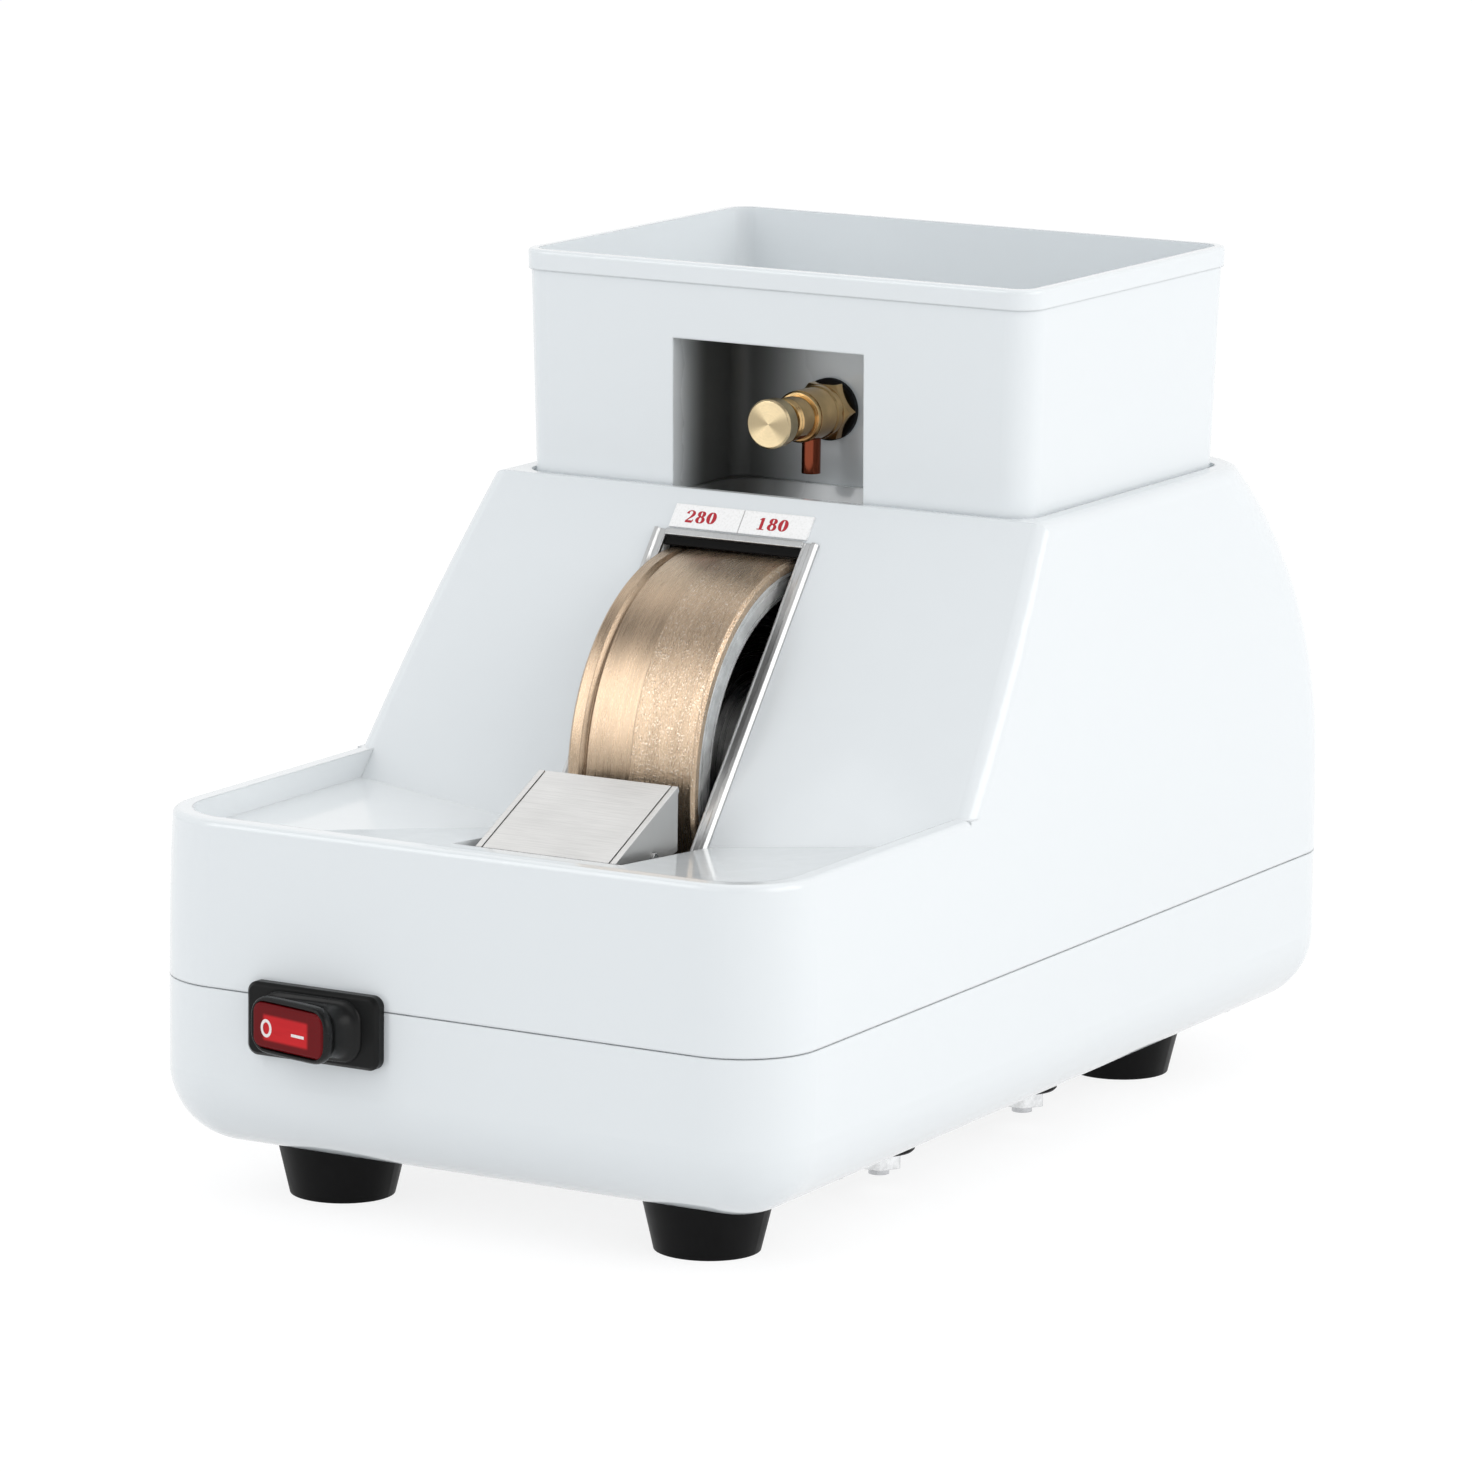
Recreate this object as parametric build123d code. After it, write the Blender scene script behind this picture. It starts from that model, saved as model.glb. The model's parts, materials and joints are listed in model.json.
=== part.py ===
from build123d import *
import os
from math import atan2, cos, radians, sin, sqrt, tan

os.makedirs("parts", exist_ok=True)

# Driving dimensions in millimetres
# X runs to the user's right, Y to the back and Z up, with the table at zero

# General
wall = 3.0
overrun = 2.0
face_gap = 0.3
running_clearance = 0.05
screw_clearance = 0.25
edge_break = 0.5

# Casing shells
seam_z = 54.0
underside_z = 14.0
seam_half_width = 85.2
front_reach = 146.0
back_reach = 152.5
corner_radius = 20.0
tub_fillet = 18.5
seam_groove = 0.25
tongue_height = 2.0
tongue_clearance = 0.15
lean_start_z = 62.0
back_curve_start_z = 80.0
platform_z = 156.0
platform_side_inset = 8.4
platform_back_inset = 33.5
rim_z = 93.5
rim_width = 4.6
rim_round = 1.6
tray_depth = 95.1
incline_angle = 51.1
incline_round = 4.0
lip_round = 0.8
floor_edge_depth = 5.6
floor_fall = 6.2
tank_seat_depth = 1.7
tank_seat_clearance = 0.6

# Drip chute under the tap
chute_wall = 2.0
chute_side_gap = 1.4
chute_front_gap = 2.6
chute_corner = 10.0
chute_taper = 1.75
chute_taper_height = 4.3
chute_wheel_gap = 3.5

# Grinding wheel
wheel_diameter = 100.0
wheel_width = 35.0
wheel_x = -3.3
wheel_from_incline_foot = 42.2
wheel_z = 93.0
band_thickness = 2.5
band_edge_chamfer = 0.8
groove_width = 2.2
groove_depth = 1.1
groove_from_edge = 4.6
dish_depth = 13.0
dish_outer_radius = 42.0
dish_inner_radius = 19.0
back_dish_depth = 7.0

# Slot frame and plates on the incline
frame_rail = 3.9
frame_top_rail = 1.7
frame_thickness = 1.4
frame_profile_shares = [
    (0, 0), (1, 0), (1, 0.36), (0.85, 1), (0.62, 1), (0.49, 0.5), (0.13, 0.5), (0.09, 0.72), (0, 0.72),
]
wheel_side_gap = 1.4
wheel_edge_gap = 1.2
frame_bottom_s = -17.3
frame_top_s = 68.2
plate_from_frame = 0.9
plate_height = 6.5
plate_width = 19.2
plate_thickness = 0.6

# Splash lip at the slot's upper end
splash_lip_length = 2.3
splash_lip_depth = 3.2
splash_lip_rise = 0.5
splash_lip_gap = 0.6

# Lens rest
rest_width = 38.0
rest_sheet = 1.5
rest_from_wheel = 59.8
rest_rear_rise = 3.8
rest_angle = 25.0
rest_length = 31.9
rest_groove_width = 0.45
rest_groove_depth = 0.9
cheek_rear_drop = 15.5
cheek_toe_drop = 3.6
cheek_toe_reach = 2.5
rest_pin_from_wheel = 71.3
rest_pin_rise = 0.5
rest_pin_radius = 1.25
rest_pin_tail = 0.8
slot_front_from_wheel = 92.8
ear_gap = 0.4
ear_thickness = 2.4
ear_radius = 2.6
ear_foot_half = 7.0

# Splash well and drain
well_wall = 2.0
well_radius = 58.0
well_side_gap = 3.2
well_front_from_wheel = 95.8
well_front_wall_height = 12.0
well_base_drop = 6.0
well_shoulder_rise = 52.2
drain_pipe_radius = 5.0
drain_bore = 3.6
drain_z = 33.0
drain_flange_radius = 9.0
drain_flange_length = 2.4
drain_spigot_radius = 6.0
drain_spigot_length = 12.6
drain_lead = 1.0

# Shaft and motor
shaft_radius = 4.0
wheel_nut_height = 6.0
wheel_nut_flats = 16.0
shaft_tail = 1.0
motor_radius = 26.0
motor_wall = 1.6
motor_gap_from_well = 1.6
motor_gap_from_casing = 7.7
cover_thickness = 3.0
bearing_radius = 11.0
bearing_width = 7.0
rotor_radius = 17.0
rotor_end_gap = 13.0
vent_width = 3.2
vent_count = 6
cradle_sheet = 2.5
cradle_pitch_x = 18.0
cradle_pitch_y = 74.0
cradle_shift_y = 2.2
cradle_margin = 7.5
cradle_cheek_width = 66.0
strap_width = 10.0
strap_pitch = 25.0
strap_thickness = 1.4
strap_ear = 11.0
mount_bolt_radius = 2.5
mount_nut_flats = 10.0
mount_nut_height = 5.4
mount_head_flats = 8.0
mount_head_height = 3.0
mount_washer_radius = 8.5
mount_washer_height = 2.6
mount_bolt_tail = 1.8
strap_screw_radius = 1.5
strap_head_flats = 5.5
strap_head_height = 1.5

# Electrical parts inside
capacitor_radius = 15.0
capacitor_length = 40.0
capacitor_from_side = 45.2
capacitor_from_back = 80.5
capacitor_chamfer = 1.0
clip_width = 10.0
clip_sheet = 1.2
terminal_ways = 4
terminal_pitch = 8.0
terminal_depth = 17.0
terminal_height = 13.0
terminal_opening = 4.0
terminal_slit = 1.0
terminal_slit_depth = 4.0
terminal_from_side = 33.2
terminal_from_wheel = 1.3

# Water tank
tank_height = 55.0
tank_side_inset = 5.8
tank_front_inset = 1.37
tank_back_inset = 8.3
tank_draft = 1.4
tank_corner = 7.0
tank_wall = 2.6
tank_floor = 3.0
band_height = 5.0
band_step = 0.5
rim_edge = 0.9
niche_left_x = -27.3
niche_right_x = 25.4
niche_lintel = 18.8
niche_depth = 33.4
niche_corner = 4.0

# Tap
tap_x = -1.0
tap_rise = 17.0
tap_gasket_radius = 7.7
tap_gasket_thickness = 1.5
tap_hex_flats = 13.4
tap_hex_length = 4.0
tap_collar_radius = 6.65
tap_collar_length = 2.8
tap_barrel_radius = 6.4
tap_barrel_length = 8.6
tap_stem_radius = 5.4
tap_stem_length = 7.6
tap_neck_radius = 4.2
tap_neck_length = 2.4
tap_knob_radius = 6.1
tap_knob_length = 4.4
tap_spindle_radius = 2.5
tap_shank_radius = 5.0
tap_shank_tail = 3.2
tap_bore_radius = 2.0
tap_nut_flats = 14.0
tap_nut_length = 4.0
spout_radius = 2.35
spout_bore_radius = 1.6
spout_tip_rise = 2.3
spout_from_hex = 8.2

# Switch
switch_from_side = 50.3
switch_z = 48.9
bezel_width = 35.7
bezel_height = 17.4
bezel_depth = 3.0
bezel_corner = 2.6
bezel_chamfer = 0.8
boot_width = 27.0
boot_height = 14.6
boot_corner = 5.0
boot_wall = 2.0
boot_depth = 1.0
boot_draft = 14.0
rocker_tilt = 13.0
rocker_reach = 9.4
cap_width = 25.0
cap_height = 12.7
cap_corner = 3.6
cap_depth = 2.2
cap_chamfer = 0.6
stalk_width = 14.0
stalk_height = 7.6
lens_width = 23.0
lens_height = 10.7
lens_corner = 2.4
lens_proud = 0.7
lens_seat = 1.2
switch_body_width = 26.0
switch_body_height = 12.0
switch_body_depth = 19.0
switch_cavity_depth = 4.0
terminal_blade_width = 6.3
terminal_blade_sheet = 0.8
terminal_blade_length = 8.0
terminal_blade_count = 3
pivot_radius = 1.2

# Feet and casing screws
foot_from_side = 35.6
foot_from_front = 34.1
foot_from_back = 53.1
foot_top_radius = 15.8
foot_base_radius = 12.5
foot_recess_radius = 6.5
foot_recess_depth = 7.0
foot_screw_radius = 2.2
foot_head_flats = 8.0
foot_head_height = 2.6
boss_radius = 5.0
foot_boss_height = 9.0
casing_screw_from_side = 12.2
casing_screw_from_front = 48.0
casing_screw_from_back = 46.5
casing_screw_radius = 1.9
casing_head_flats = 6.4
casing_counterbore_radius = 3.85
casing_head_height = 2.4
casing_boss_radius = 5.2
casing_boss_rise = 16.0
casing_screw_bite = 11.0
counterbore_depth = 6.0

# Cord gland
gland_from_side = 33.2
gland_z = 42.0
gland_bore_radius = 3.7
gland_body_radius = 6.4
gland_flange_radius = 9.0
gland_flange_length = 2.4
gland_nose_length = 8.0
gland_tail_length = 7.0

# Vents in the underside
underside_vent_width = 3.0
underside_vent_length = 30.0
underside_vent_pitch = 7.0
underside_vent_count = 5
underside_vent_x = 8.0
underside_vent_from_back = 86.5


# Worked-out places
front_y = -front_reach
incline_slope = tan(radians(incline_angle))
incline_run = cos(radians(incline_angle))
incline_rise = sin(radians(incline_angle))
incline_foot_y = front_y + tray_depth
platform_half_width = seam_half_width - platform_side_inset
platform_back_y = back_reach - platform_back_inset
platform_front_y = incline_foot_y + (platform_z - rim_z) / incline_slope
floor_edge_z = rim_z - floor_edge_depth
floor_low_z = floor_edge_z - floor_fall
tub_floor_z = underside_z + wall
wheel_radius = wheel_diameter / 2
wheel_y = incline_foot_y + wheel_from_incline_foot
slot_half_width = wheel_width / 2 + wheel_side_gap
slot_front_y = wheel_y - slot_front_from_wheel
slot_top_s = frame_top_s - frame_top_rail
frame_half_width = slot_half_width + frame_rail
plate_bottom_s = frame_top_s + plate_from_frame
rest_rear_y = wheel_y - rest_from_wheel
rest_rear_z = rim_z + rest_rear_rise
rest_pin_y = wheel_y - rest_pin_from_wheel
rest_pin_z = floor_low_z + rest_pin_rise
well_half_width = rest_width / 2 + well_side_gap
well_right_x = wheel_x + well_half_width + well_wall
well_front_y = wheel_y - well_front_from_wheel
well_base_z = drain_z - well_base_drop
motor_front_x = well_right_x + motor_gap_from_well
motor_rear_x = seam_half_width - wall - motor_gap_from_casing
motor_middle_x = (motor_front_x + motor_rear_x) / 2
rotor_length = motor_rear_x - motor_front_x - 2 * rotor_end_gap
capacitor_x = capacitor_from_side - seam_half_width
capacitor_y = back_reach - capacitor_from_back
terminal_x = terminal_from_side - seam_half_width
terminal_y = wheel_y - terminal_from_wheel
tank_base_z = platform_z - tank_seat_depth
tank_top_z = platform_z + tank_height
tank_half_width = platform_half_width - tank_side_inset
tank_front_y = platform_front_y + tank_front_inset
tank_back_y = platform_back_y - tank_back_inset
niche_centre_x = (niche_left_x + niche_right_x) / 2
niche_top_z = tank_top_z - niche_lintel
niche_back_y = tank_front_y + niche_depth
tap_z = platform_z + tap_rise
spout_tip_z = platform_z + spout_tip_rise
switch_x = switch_from_side - seam_half_width
foot_x = seam_half_width - foot_from_side
foot_front_y = front_y + foot_from_front
foot_back_y = back_reach - foot_from_back
casing_screw_x = seam_half_width - casing_screw_from_side
casing_screw_front_y = front_y + casing_screw_from_front
casing_screw_back_y = back_reach - casing_screw_from_back
gland_x = seam_half_width - gland_from_side
underside_vent_y = back_reach - underside_vent_from_back


def incline_y(z):
    """Y of the incline's outer face at a height."""
    return incline_foot_y + (z - rim_z) / incline_slope


def incline_place(x, s, lift=0):
    """A frame on the incline, S up the slope from the rim's level and its normal outwards."""
    y = incline_foot_y + s * incline_run - lift * incline_rise
    z = rim_z + s * incline_rise + lift * incline_run
    return Pos(x, y, z) * Rot(incline_angle, 0, 0)


def arc_lean(height, full_height, drop):
    """How far a wall that starts upright has leant in at a height."""
    if height <= 0:
        return 0
    radius = (full_height**2 + drop**2) / (2 * drop)
    return radius - sqrt(radius**2 - height**2)


def rod_x(radius, x0, x1, y, z):
    return Pos((x0 + x1) / 2, y, z) * Rot(0, 90, 0) * Cylinder(radius, x1 - x0)


def rod_y(radius, y0, y1, x, z):
    return Pos(x, (y0 + y1) / 2, z) * Rot(-90, 0, 0) * Cylinder(radius, y1 - y0)


def rod_z(radius, z0, z1, x, y):
    return Pos(x, y, (z0 + z1) / 2) * Cylinder(radius, z1 - z0)


def hexagon_z(flats, z0, z1, x, y):
    outline = RegularPolygon(flats / 2, 6, major_radius=False)
    return Pos(x, y, z0) * extrude(outline, z1 - z0)


def block(x0, x1, y0, y1, z0, z1):
    return Pos((x0 + x1) / 2, (y0 + y1) / 2, (z0 + z1) / 2) * Box(x1 - x0, y1 - y0, z1 - z0)


def side_prism(points, half_width, middle_x=0):
    """A prism along X from an outline of (y, z) points."""
    outline = make_face(Polyline(*points, close=True))
    return Pos(middle_x, 0, 0) * extrude(Plane.YZ * outline, half_width, both=True)


def turned(points):
    """A turned solid about Z from an outline of (radius, height) points."""
    outline = make_face(Polyline(*points, close=True))
    return revolve(Plane.XZ * outline, Axis.Z)


def along_x(x, y=wheel_y, z=wheel_z):
    return Pos(x, y, z) * Rot(0, 90, 0)


def along_y(x, y, z):
    return Pos(x, y, z) * Rot(-90, 0, 0)


def mirrored_pair(solid):
    return solid + mirror(solid, Plane.YZ)


# Casing forms shared by both shells
def leaning_block(inset):
    """The top shell's form from the seam to the platform, drawn in by an inset."""
    top = platform_z - inset
    bottom = seam_z - tongue_height - overrun
    back = back_reach - inset
    front = -front_reach + inset
    back_height = platform_z - back_curve_start_z
    back_drop = back_reach - platform_back_y
    back_radius = (back_height**2 + back_drop**2) / (2 * back_drop)
    arc_centre_y = back_reach - back_radius
    inner_radius = back_radius - inset
    top_back = arc_centre_y + sqrt(inner_radius**2 - (top - back_curve_start_z) ** 2)
    half_angle = atan2(top - back_curve_start_z, top_back - arc_centre_y) / 2
    bow = (arc_centre_y + inner_radius * cos(half_angle),
           back_curve_start_z + inner_radius * sin(half_angle))
    side_outline = [
        Line((front, bottom), (back, bottom)),
        Line((back, bottom), (back, back_curve_start_z)),
        ThreePointArc((back, back_curve_start_z), bow, (top_back, top)),
        Line((top_back, top), (front, top)),
        Line((front, top), (front, bottom)),
    ]
    side = extrude(Plane.YZ * make_face(side_outline), seam_half_width + overrun, both=True)
    half = seam_half_width - inset
    side_height = platform_z - lean_start_z
    side_drop = seam_half_width - platform_half_width
    top_half = half - arc_lean(top - lean_start_z, side_height, side_drop)
    middle_z = (lean_start_z + top) / 2
    middle_half = half - arc_lean(middle_z - lean_start_z, side_height, side_drop)
    front_outline = [
        Line((-half, bottom), (half, bottom)),
        Line((half, bottom), (half, lean_start_z)),
        ThreePointArc((half, lean_start_z), (middle_half, middle_z), (top_half, top)),
        Line((top_half, top), (-top_half, top)),
        ThreePointArc((-top_half, top), (-middle_half, middle_z), (-half, lean_start_z)),
        Line((-half, lean_start_z), (-half, bottom)),
    ]
    depth = front_reach + back_reach
    across = extrude(Plane.XZ * make_face(front_outline), depth, both=True)
    body = side & across
    corners = [edge for edge in body.edges() if edge.bounding_box().size.Z > wall]
    return fillet(corners, corner_radius - inset)


def above_incline(shift, half_width=seam_half_width + overrun, low_z=rim_z):
    """The space in front of the incline, moved back into it by a shift along its normal."""
    back = shift / incline_rise
    top = platform_z + overrun
    points = [
        (-front_reach - overrun, low_z),
        (incline_y(low_z) + back, low_z),
        (incline_y(top) + back, top),
        (-front_reach - overrun, top),
    ]
    return side_prism(points, half_width)


def tray_space(inset, lower, back):
    """The tray's hopper-shaped space: its floor falls from three sides to the wheel slot."""
    low = floor_low_z - lower
    edge = floor_edge_z - lower
    top = rim_z + overrun
    half = seam_half_width
    slot_left = wheel_x - frame_half_width
    slot_right = wheel_x + frame_half_width
    fall_slope = floor_fall / (half - rim_width - slot_right)
    left_z = low + (half + slot_left) * fall_slope
    right_z = low + (half - slot_right) * fall_slope
    outline = [
        (-half, top),
        (-half, left_z),
        (slot_left, low),
        (slot_right, low),
        (half, right_z),
        (half, top),
    ]
    trough = extrude(Plane.XZ * make_face(Polyline(*outline, close=True)), front_reach)
    shift = back / incline_rise
    foot = incline_y(low) + shift
    wedge = [
        (-front_reach, edge),
        (-front_reach, top),
        (incline_y(top) + shift, top),
        (foot, low),
    ]
    return trough & side_prism(wedge, half) & leaning_block(inset)


def tub_block(inset):
    """The tub's form below the seam, drawn in by an inset."""
    depth = front_reach + back_reach - 2 * inset
    middle_y = (back_reach - front_reach) / 2
    outline = RectangleRounded(2 * (seam_half_width - inset), depth, corner_radius - inset)
    bottom = underside_z + inset
    tub = Pos(0, middle_y, bottom) * extrude(outline, seam_z - bottom)
    return fillet(tub.faces().sort_by(Axis.Z)[0].edges(), tub_fillet - inset)


def seam_ring(outer_inset, inner_inset, low_z, high_z):
    """A closed ring that follows the seam between two insets."""
    middle_y = (back_reach - front_reach) / 2
    rings = []
    for inset in (outer_inset, inner_inset):
        outline = RectangleRounded(
            2 * (seam_half_width - inset),
            front_reach + back_reach - 2 * inset,
            corner_radius - inset,
        )
        rings.append(Pos(0, middle_y, low_z) * extrude(outline, high_z - low_z))
    return rings[0] - rings[1]


def foot_places():
    return [(x, y) for x in (-foot_x, foot_x) for y in (foot_front_y, foot_back_y)]


def casing_screw_places():
    ys = (casing_screw_front_y, casing_screw_back_y)
    return [(x, y) for x in (-casing_screw_x, casing_screw_x) for y in ys]


def cradle_places():
    middle_y = wheel_y + cradle_shift_y
    xs = (motor_middle_x - cradle_pitch_x / 2, motor_middle_x + cradle_pitch_x / 2)
    ys = (middle_y - cradle_pitch_y / 2, middle_y + cradle_pitch_y / 2)
    return [(x, y) for x in xs for y in ys]


def strap_places():
    """Ears of the two straps, as (x, y)."""
    reach = motor_radius + strap_ear / 2 + face_gap
    xs = (motor_middle_x - strap_pitch / 2, motor_middle_x + strap_pitch / 2)
    return [(x, wheel_y + side * reach) for x in xs for side in (-1, 1)]


def switch_opening(low_z, high_z):
    half_width = switch_body_width / 2 + face_gap
    return block(switch_x - half_width, switch_x + half_width,
                 front_y - overrun, front_y + wall + overrun, low_z, high_z)


# Casing shells
def make_upper_casing():
    outer = leaning_block(0)
    below = block(-seam_half_width - overrun, seam_half_width + overrun,
                  -front_reach - overrun, back_reach + overrun, 0, seam_z)
    outer = outer - below
    high_cut = block(-seam_half_width - overrun, seam_half_width + overrun,
                     -front_reach - overrun, back_reach + overrun, rim_z, platform_z + overrun)
    tower = (outer & high_cut) - above_incline(0)
    sides = [edge for edge in tower.edges()
             if abs(edge.center().X) > platform_half_width - corner_radius
             and edge.center().Z > rim_z + lip_round
             and edge.bounding_box().size.Y > corner_radius
             and (edge.center().Y < platform_back_y / 2 or edge.bounding_box().size.Z < lip_round)
             and edge.center().Y < platform_back_y]
    tower = fillet(sides, incline_round)
    base = outer - high_cut
    tray_front = base & block(-seam_half_width - overrun, seam_half_width + overrun,
                              -front_reach - overrun, incline_foot_y, 0, rim_z + overrun)
    rim_edges = [edge for edge in tray_front.edges()
                 if edge.center().Z > rim_z - edge_break and edge.center().Y < incline_foot_y - edge_break]
    tray_front = fillet(rim_edges, rim_round)
    shell = tower + tray_front + (base - block(
        -seam_half_width - overrun, seam_half_width + overrun,
        -front_reach - overrun, incline_foot_y, 0, rim_z + overrun))
    cavity = leaning_block(wall) - above_incline(wall, low_z=floor_low_z - wall - overrun)
    cavity = cavity - tray_space(0, wall, wall)
    shell = shell - cavity
    shell = shell - tray_space(rim_width, 0, 0)
    shell = shell + hanging_bosses() + drip_chute()
    shell = shell - chute_space(0, overrun) - wheel_opening() - tank_seat() - seam_rebate()
    shell = shell - switch_opening(seam_z - overrun, switch_z + switch_body_height / 2 + face_gap)
    for x, y in casing_screw_places():
        shell = shell - rod_z(casing_screw_radius, seam_z - overrun, seam_z + casing_screw_bite, x, y)
    return shell


def hanging_bosses():
    """Screw posts that hang inside the side walls, each with a rib to its wall."""
    posts = None
    for x, y in casing_screw_places():
        side = 1 if x > 0 else -1
        top = seam_z + casing_boss_rise
        post = rod_z(casing_boss_radius, seam_z, top, x, y)
        reach = seam_half_width - wall / 2 - abs(x)
        rib = block(min(x, x + side * reach), max(x, x + side * reach),
                    y - wall / 2, y + wall / 2, seam_z + tongue_height + overrun, top)
        post = post + rib
        posts = post if posts is None else posts + post
    return posts


def wheel_opening():
    """The slot that runs down the incline and on through the tray floor."""
    x0 = wheel_x - frame_half_width
    x1 = wheel_x + frame_half_width
    floor_slot = block(x0, x1, slot_front_y, incline_y(floor_low_z) + overrun,
                       floor_low_z - wall - overrun, rim_z)
    length = slot_top_s - frame_bottom_s
    middle = frame_bottom_s + length / 2
    window = incline_place(wheel_x, middle) * Box(2 * slot_half_width, length, 4 * wall)
    rim_room = rod_x(wheel_radius + wheel_edge_gap, wheel_x - slot_half_width,
                     wheel_x + slot_half_width, wheel_y, wheel_z)
    return floor_slot + window + rim_room


def chute_space(grow, rise):
    """The chute's space from its mouth to the wheel, grown where its own walls are wanted."""
    x0 = niche_left_x + chute_side_gap - grow
    x1 = niche_right_x - chute_side_gap + grow
    y0 = tank_front_y + chute_front_gap - grow
    y1 = niche_back_y - chute_side_gap + grow
    throat_half = well_half_width - face_gap - chute_wall + grow
    throat_length = y1 - y0 - 2 * chute_taper
    mouth_middle = ((x0 + x1) / 2, (y0 + y1) / 2)
    mouth = RectangleRounded(x1 - x0, y1 - y0, chute_corner + grow)
    throat = RectangleRounded(2 * throat_half, throat_length, chute_corner - chute_taper + grow)
    throat_z = tank_base_z - chute_taper_height
    funnel = loft([Pos(wheel_x, mouth_middle[1], throat_z) * throat,
                   Pos(*mouth_middle, tank_base_z) * mouth], ruled=True)
    tube = Pos(wheel_x, mouth_middle[1], wheel_z) * extrude(throat, throat_z - wheel_z)
    space = funnel + tube
    if rise:
        space = space + Pos(*mouth_middle, tank_base_z) * extrude(mouth, rise)
    return space


def drip_chute():
    """The walls of the opening that lets the tap's water fall on the wheel."""
    walls = chute_space(chute_wall, 0)
    return walls - rod_x(wheel_radius + chute_wheel_gap, wheel_x - well_radius,
                         wheel_x + well_radius, wheel_y, wheel_z)


def tank_seat():
    """The shallow recess in the platform that keeps the tank in place."""
    half, front, back = tank_section(tank_base_z)
    outline = RectangleRounded(
        2 * (half + tank_seat_clearance), back - front + 2 * tank_seat_clearance,
        tank_corner + tank_seat_clearance)
    return Pos(0, (front + back) / 2, tank_base_z) * extrude(outline, tank_seat_depth + overrun)


def seam_rebate():
    low = seam_z - overrun
    return seam_ring(wall / 2 - tongue_clearance, wall + overrun, low,
                     seam_z + tongue_height + tongue_clearance)


def make_lower_casing():
    tub = tub_block(0) - tub_block(wall)
    groove = seam_ring(-overrun, wall / 2, seam_z - seam_groove, seam_z + overrun)
    tub = tub - groove
    tub = tub + seam_ring(wall / 2, wall, seam_z - wall, seam_z + tongue_height)
    for x, y in foot_places():
        tub = tub + rod_z(boss_radius, tub_floor_z - edge_break, tub_floor_z + foot_boss_height, x, y)
    inside = tub_block(wall / 2)
    for x, y in casing_screw_places():
        post = rod_z(casing_boss_radius, underside_z, seam_z, x, y)
        tub = tub + (post & inside)
        post_top = rod_z(casing_boss_radius, seam_z - wall, seam_z, x, y)
        tub = tub + post_top
    for x, y in foot_places():
        tub = tub - rod_z(foot_screw_radius + running_clearance, underside_z - overrun,
                          tub_floor_z + foot_boss_height - edge_break, x, y)
    for x, y in casing_screw_places():
        tub = tub - rod_z(casing_screw_radius + screw_clearance, 0, seam_z + overrun, x, y)
        tub = tub - rod_z(casing_counterbore_radius, 0, underside_z + counterbore_depth, x, y)
    for x, y in cradle_places():
        tub = tub - rod_z(mount_bolt_radius + screw_clearance, 0, tub_floor_z + overrun, x, y)
    tub = tub - rod_y(drain_pipe_radius + screw_clearance, back_reach - wall - overrun,
                      back_reach + overrun, wheel_x, drain_z)
    tub = tub - rod_y(gland_body_radius + running_clearance, back_reach - wall - overrun,
                      back_reach + overrun, gland_x, gland_z)
    tub = tub - switch_opening(switch_z - switch_body_height / 2 - face_gap,
                               seam_z + tongue_height + overrun)
    return tub - underside_vents()


def underside_vents():
    cuts = None
    half_length = underside_vent_length / 2
    half_width = underside_vent_width / 2
    for index in range(underside_vent_count):
        y = underside_vent_y + (index - (underside_vent_count - 1) / 2) * underside_vent_pitch
        cut = block(underside_vent_x - half_length, underside_vent_x + half_length,
                    y - half_width, y + half_width, underside_z - overrun, tub_floor_z + overrun)
        cuts = cut if cuts is None else cuts + cut
    return cuts


# Grinding wheel
def make_band(x0, x1, left_chamfer, right_chamfer, groove):
    inner = wheel_radius - band_thickness
    outer = wheel_radius
    points = [(inner, x0), (inner, x1)]
    if right_chamfer:
        points += [(outer - band_edge_chamfer, x1), (outer, x1 - band_edge_chamfer)]
    else:
        points += [(outer, x1)]
    if groove:
        middle = x0 + groove_from_edge
        points += [(outer, middle + groove_width / 2), (outer - groove_depth, middle),
                   (outer, middle - groove_width / 2)]
    if left_chamfer:
        points += [(outer, x0 + band_edge_chamfer), (outer - band_edge_chamfer, x0)]
    else:
        points += [(outer, x0)]
    return along_x(0) * turned(points)


def make_fine_band():
    return make_band(wheel_x - wheel_width / 2, wheel_x, True, False, True)


def make_coarse_band():
    return make_band(wheel_x, wheel_x + wheel_width / 2, False, True, False)


def make_wheel_hub():
    left = wheel_x - wheel_width / 2
    right = wheel_x + wheel_width / 2
    rim = wheel_radius - band_thickness
    draft = dish_depth / 4
    points = [
        (shaft_radius, left + back_dish_depth),
        (shaft_radius, right),
        (dish_inner_radius - draft, right),
        (dish_inner_radius, right - dish_depth),
        (dish_outer_radius - draft, right - dish_depth),
        (dish_outer_radius, right),
        (rim, right),
        (rim, left),
        (dish_outer_radius, left),
        (dish_outer_radius - draft, left + back_dish_depth),
    ]
    return along_x(0) * turned(points)


def washer_left_x():
    return wheel_x - wheel_width / 2 + back_dish_depth - cover_thickness


def make_wheel_washer():
    left = washer_left_x()
    points = [
        (shaft_radius + running_clearance, left),
        (shaft_radius + running_clearance, left + cover_thickness),
        (dish_inner_radius, left + cover_thickness),
        (dish_inner_radius, left + edge_break),
        (dish_inner_radius - edge_break, left),
    ]
    return along_x(0) * turned(points)


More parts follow.
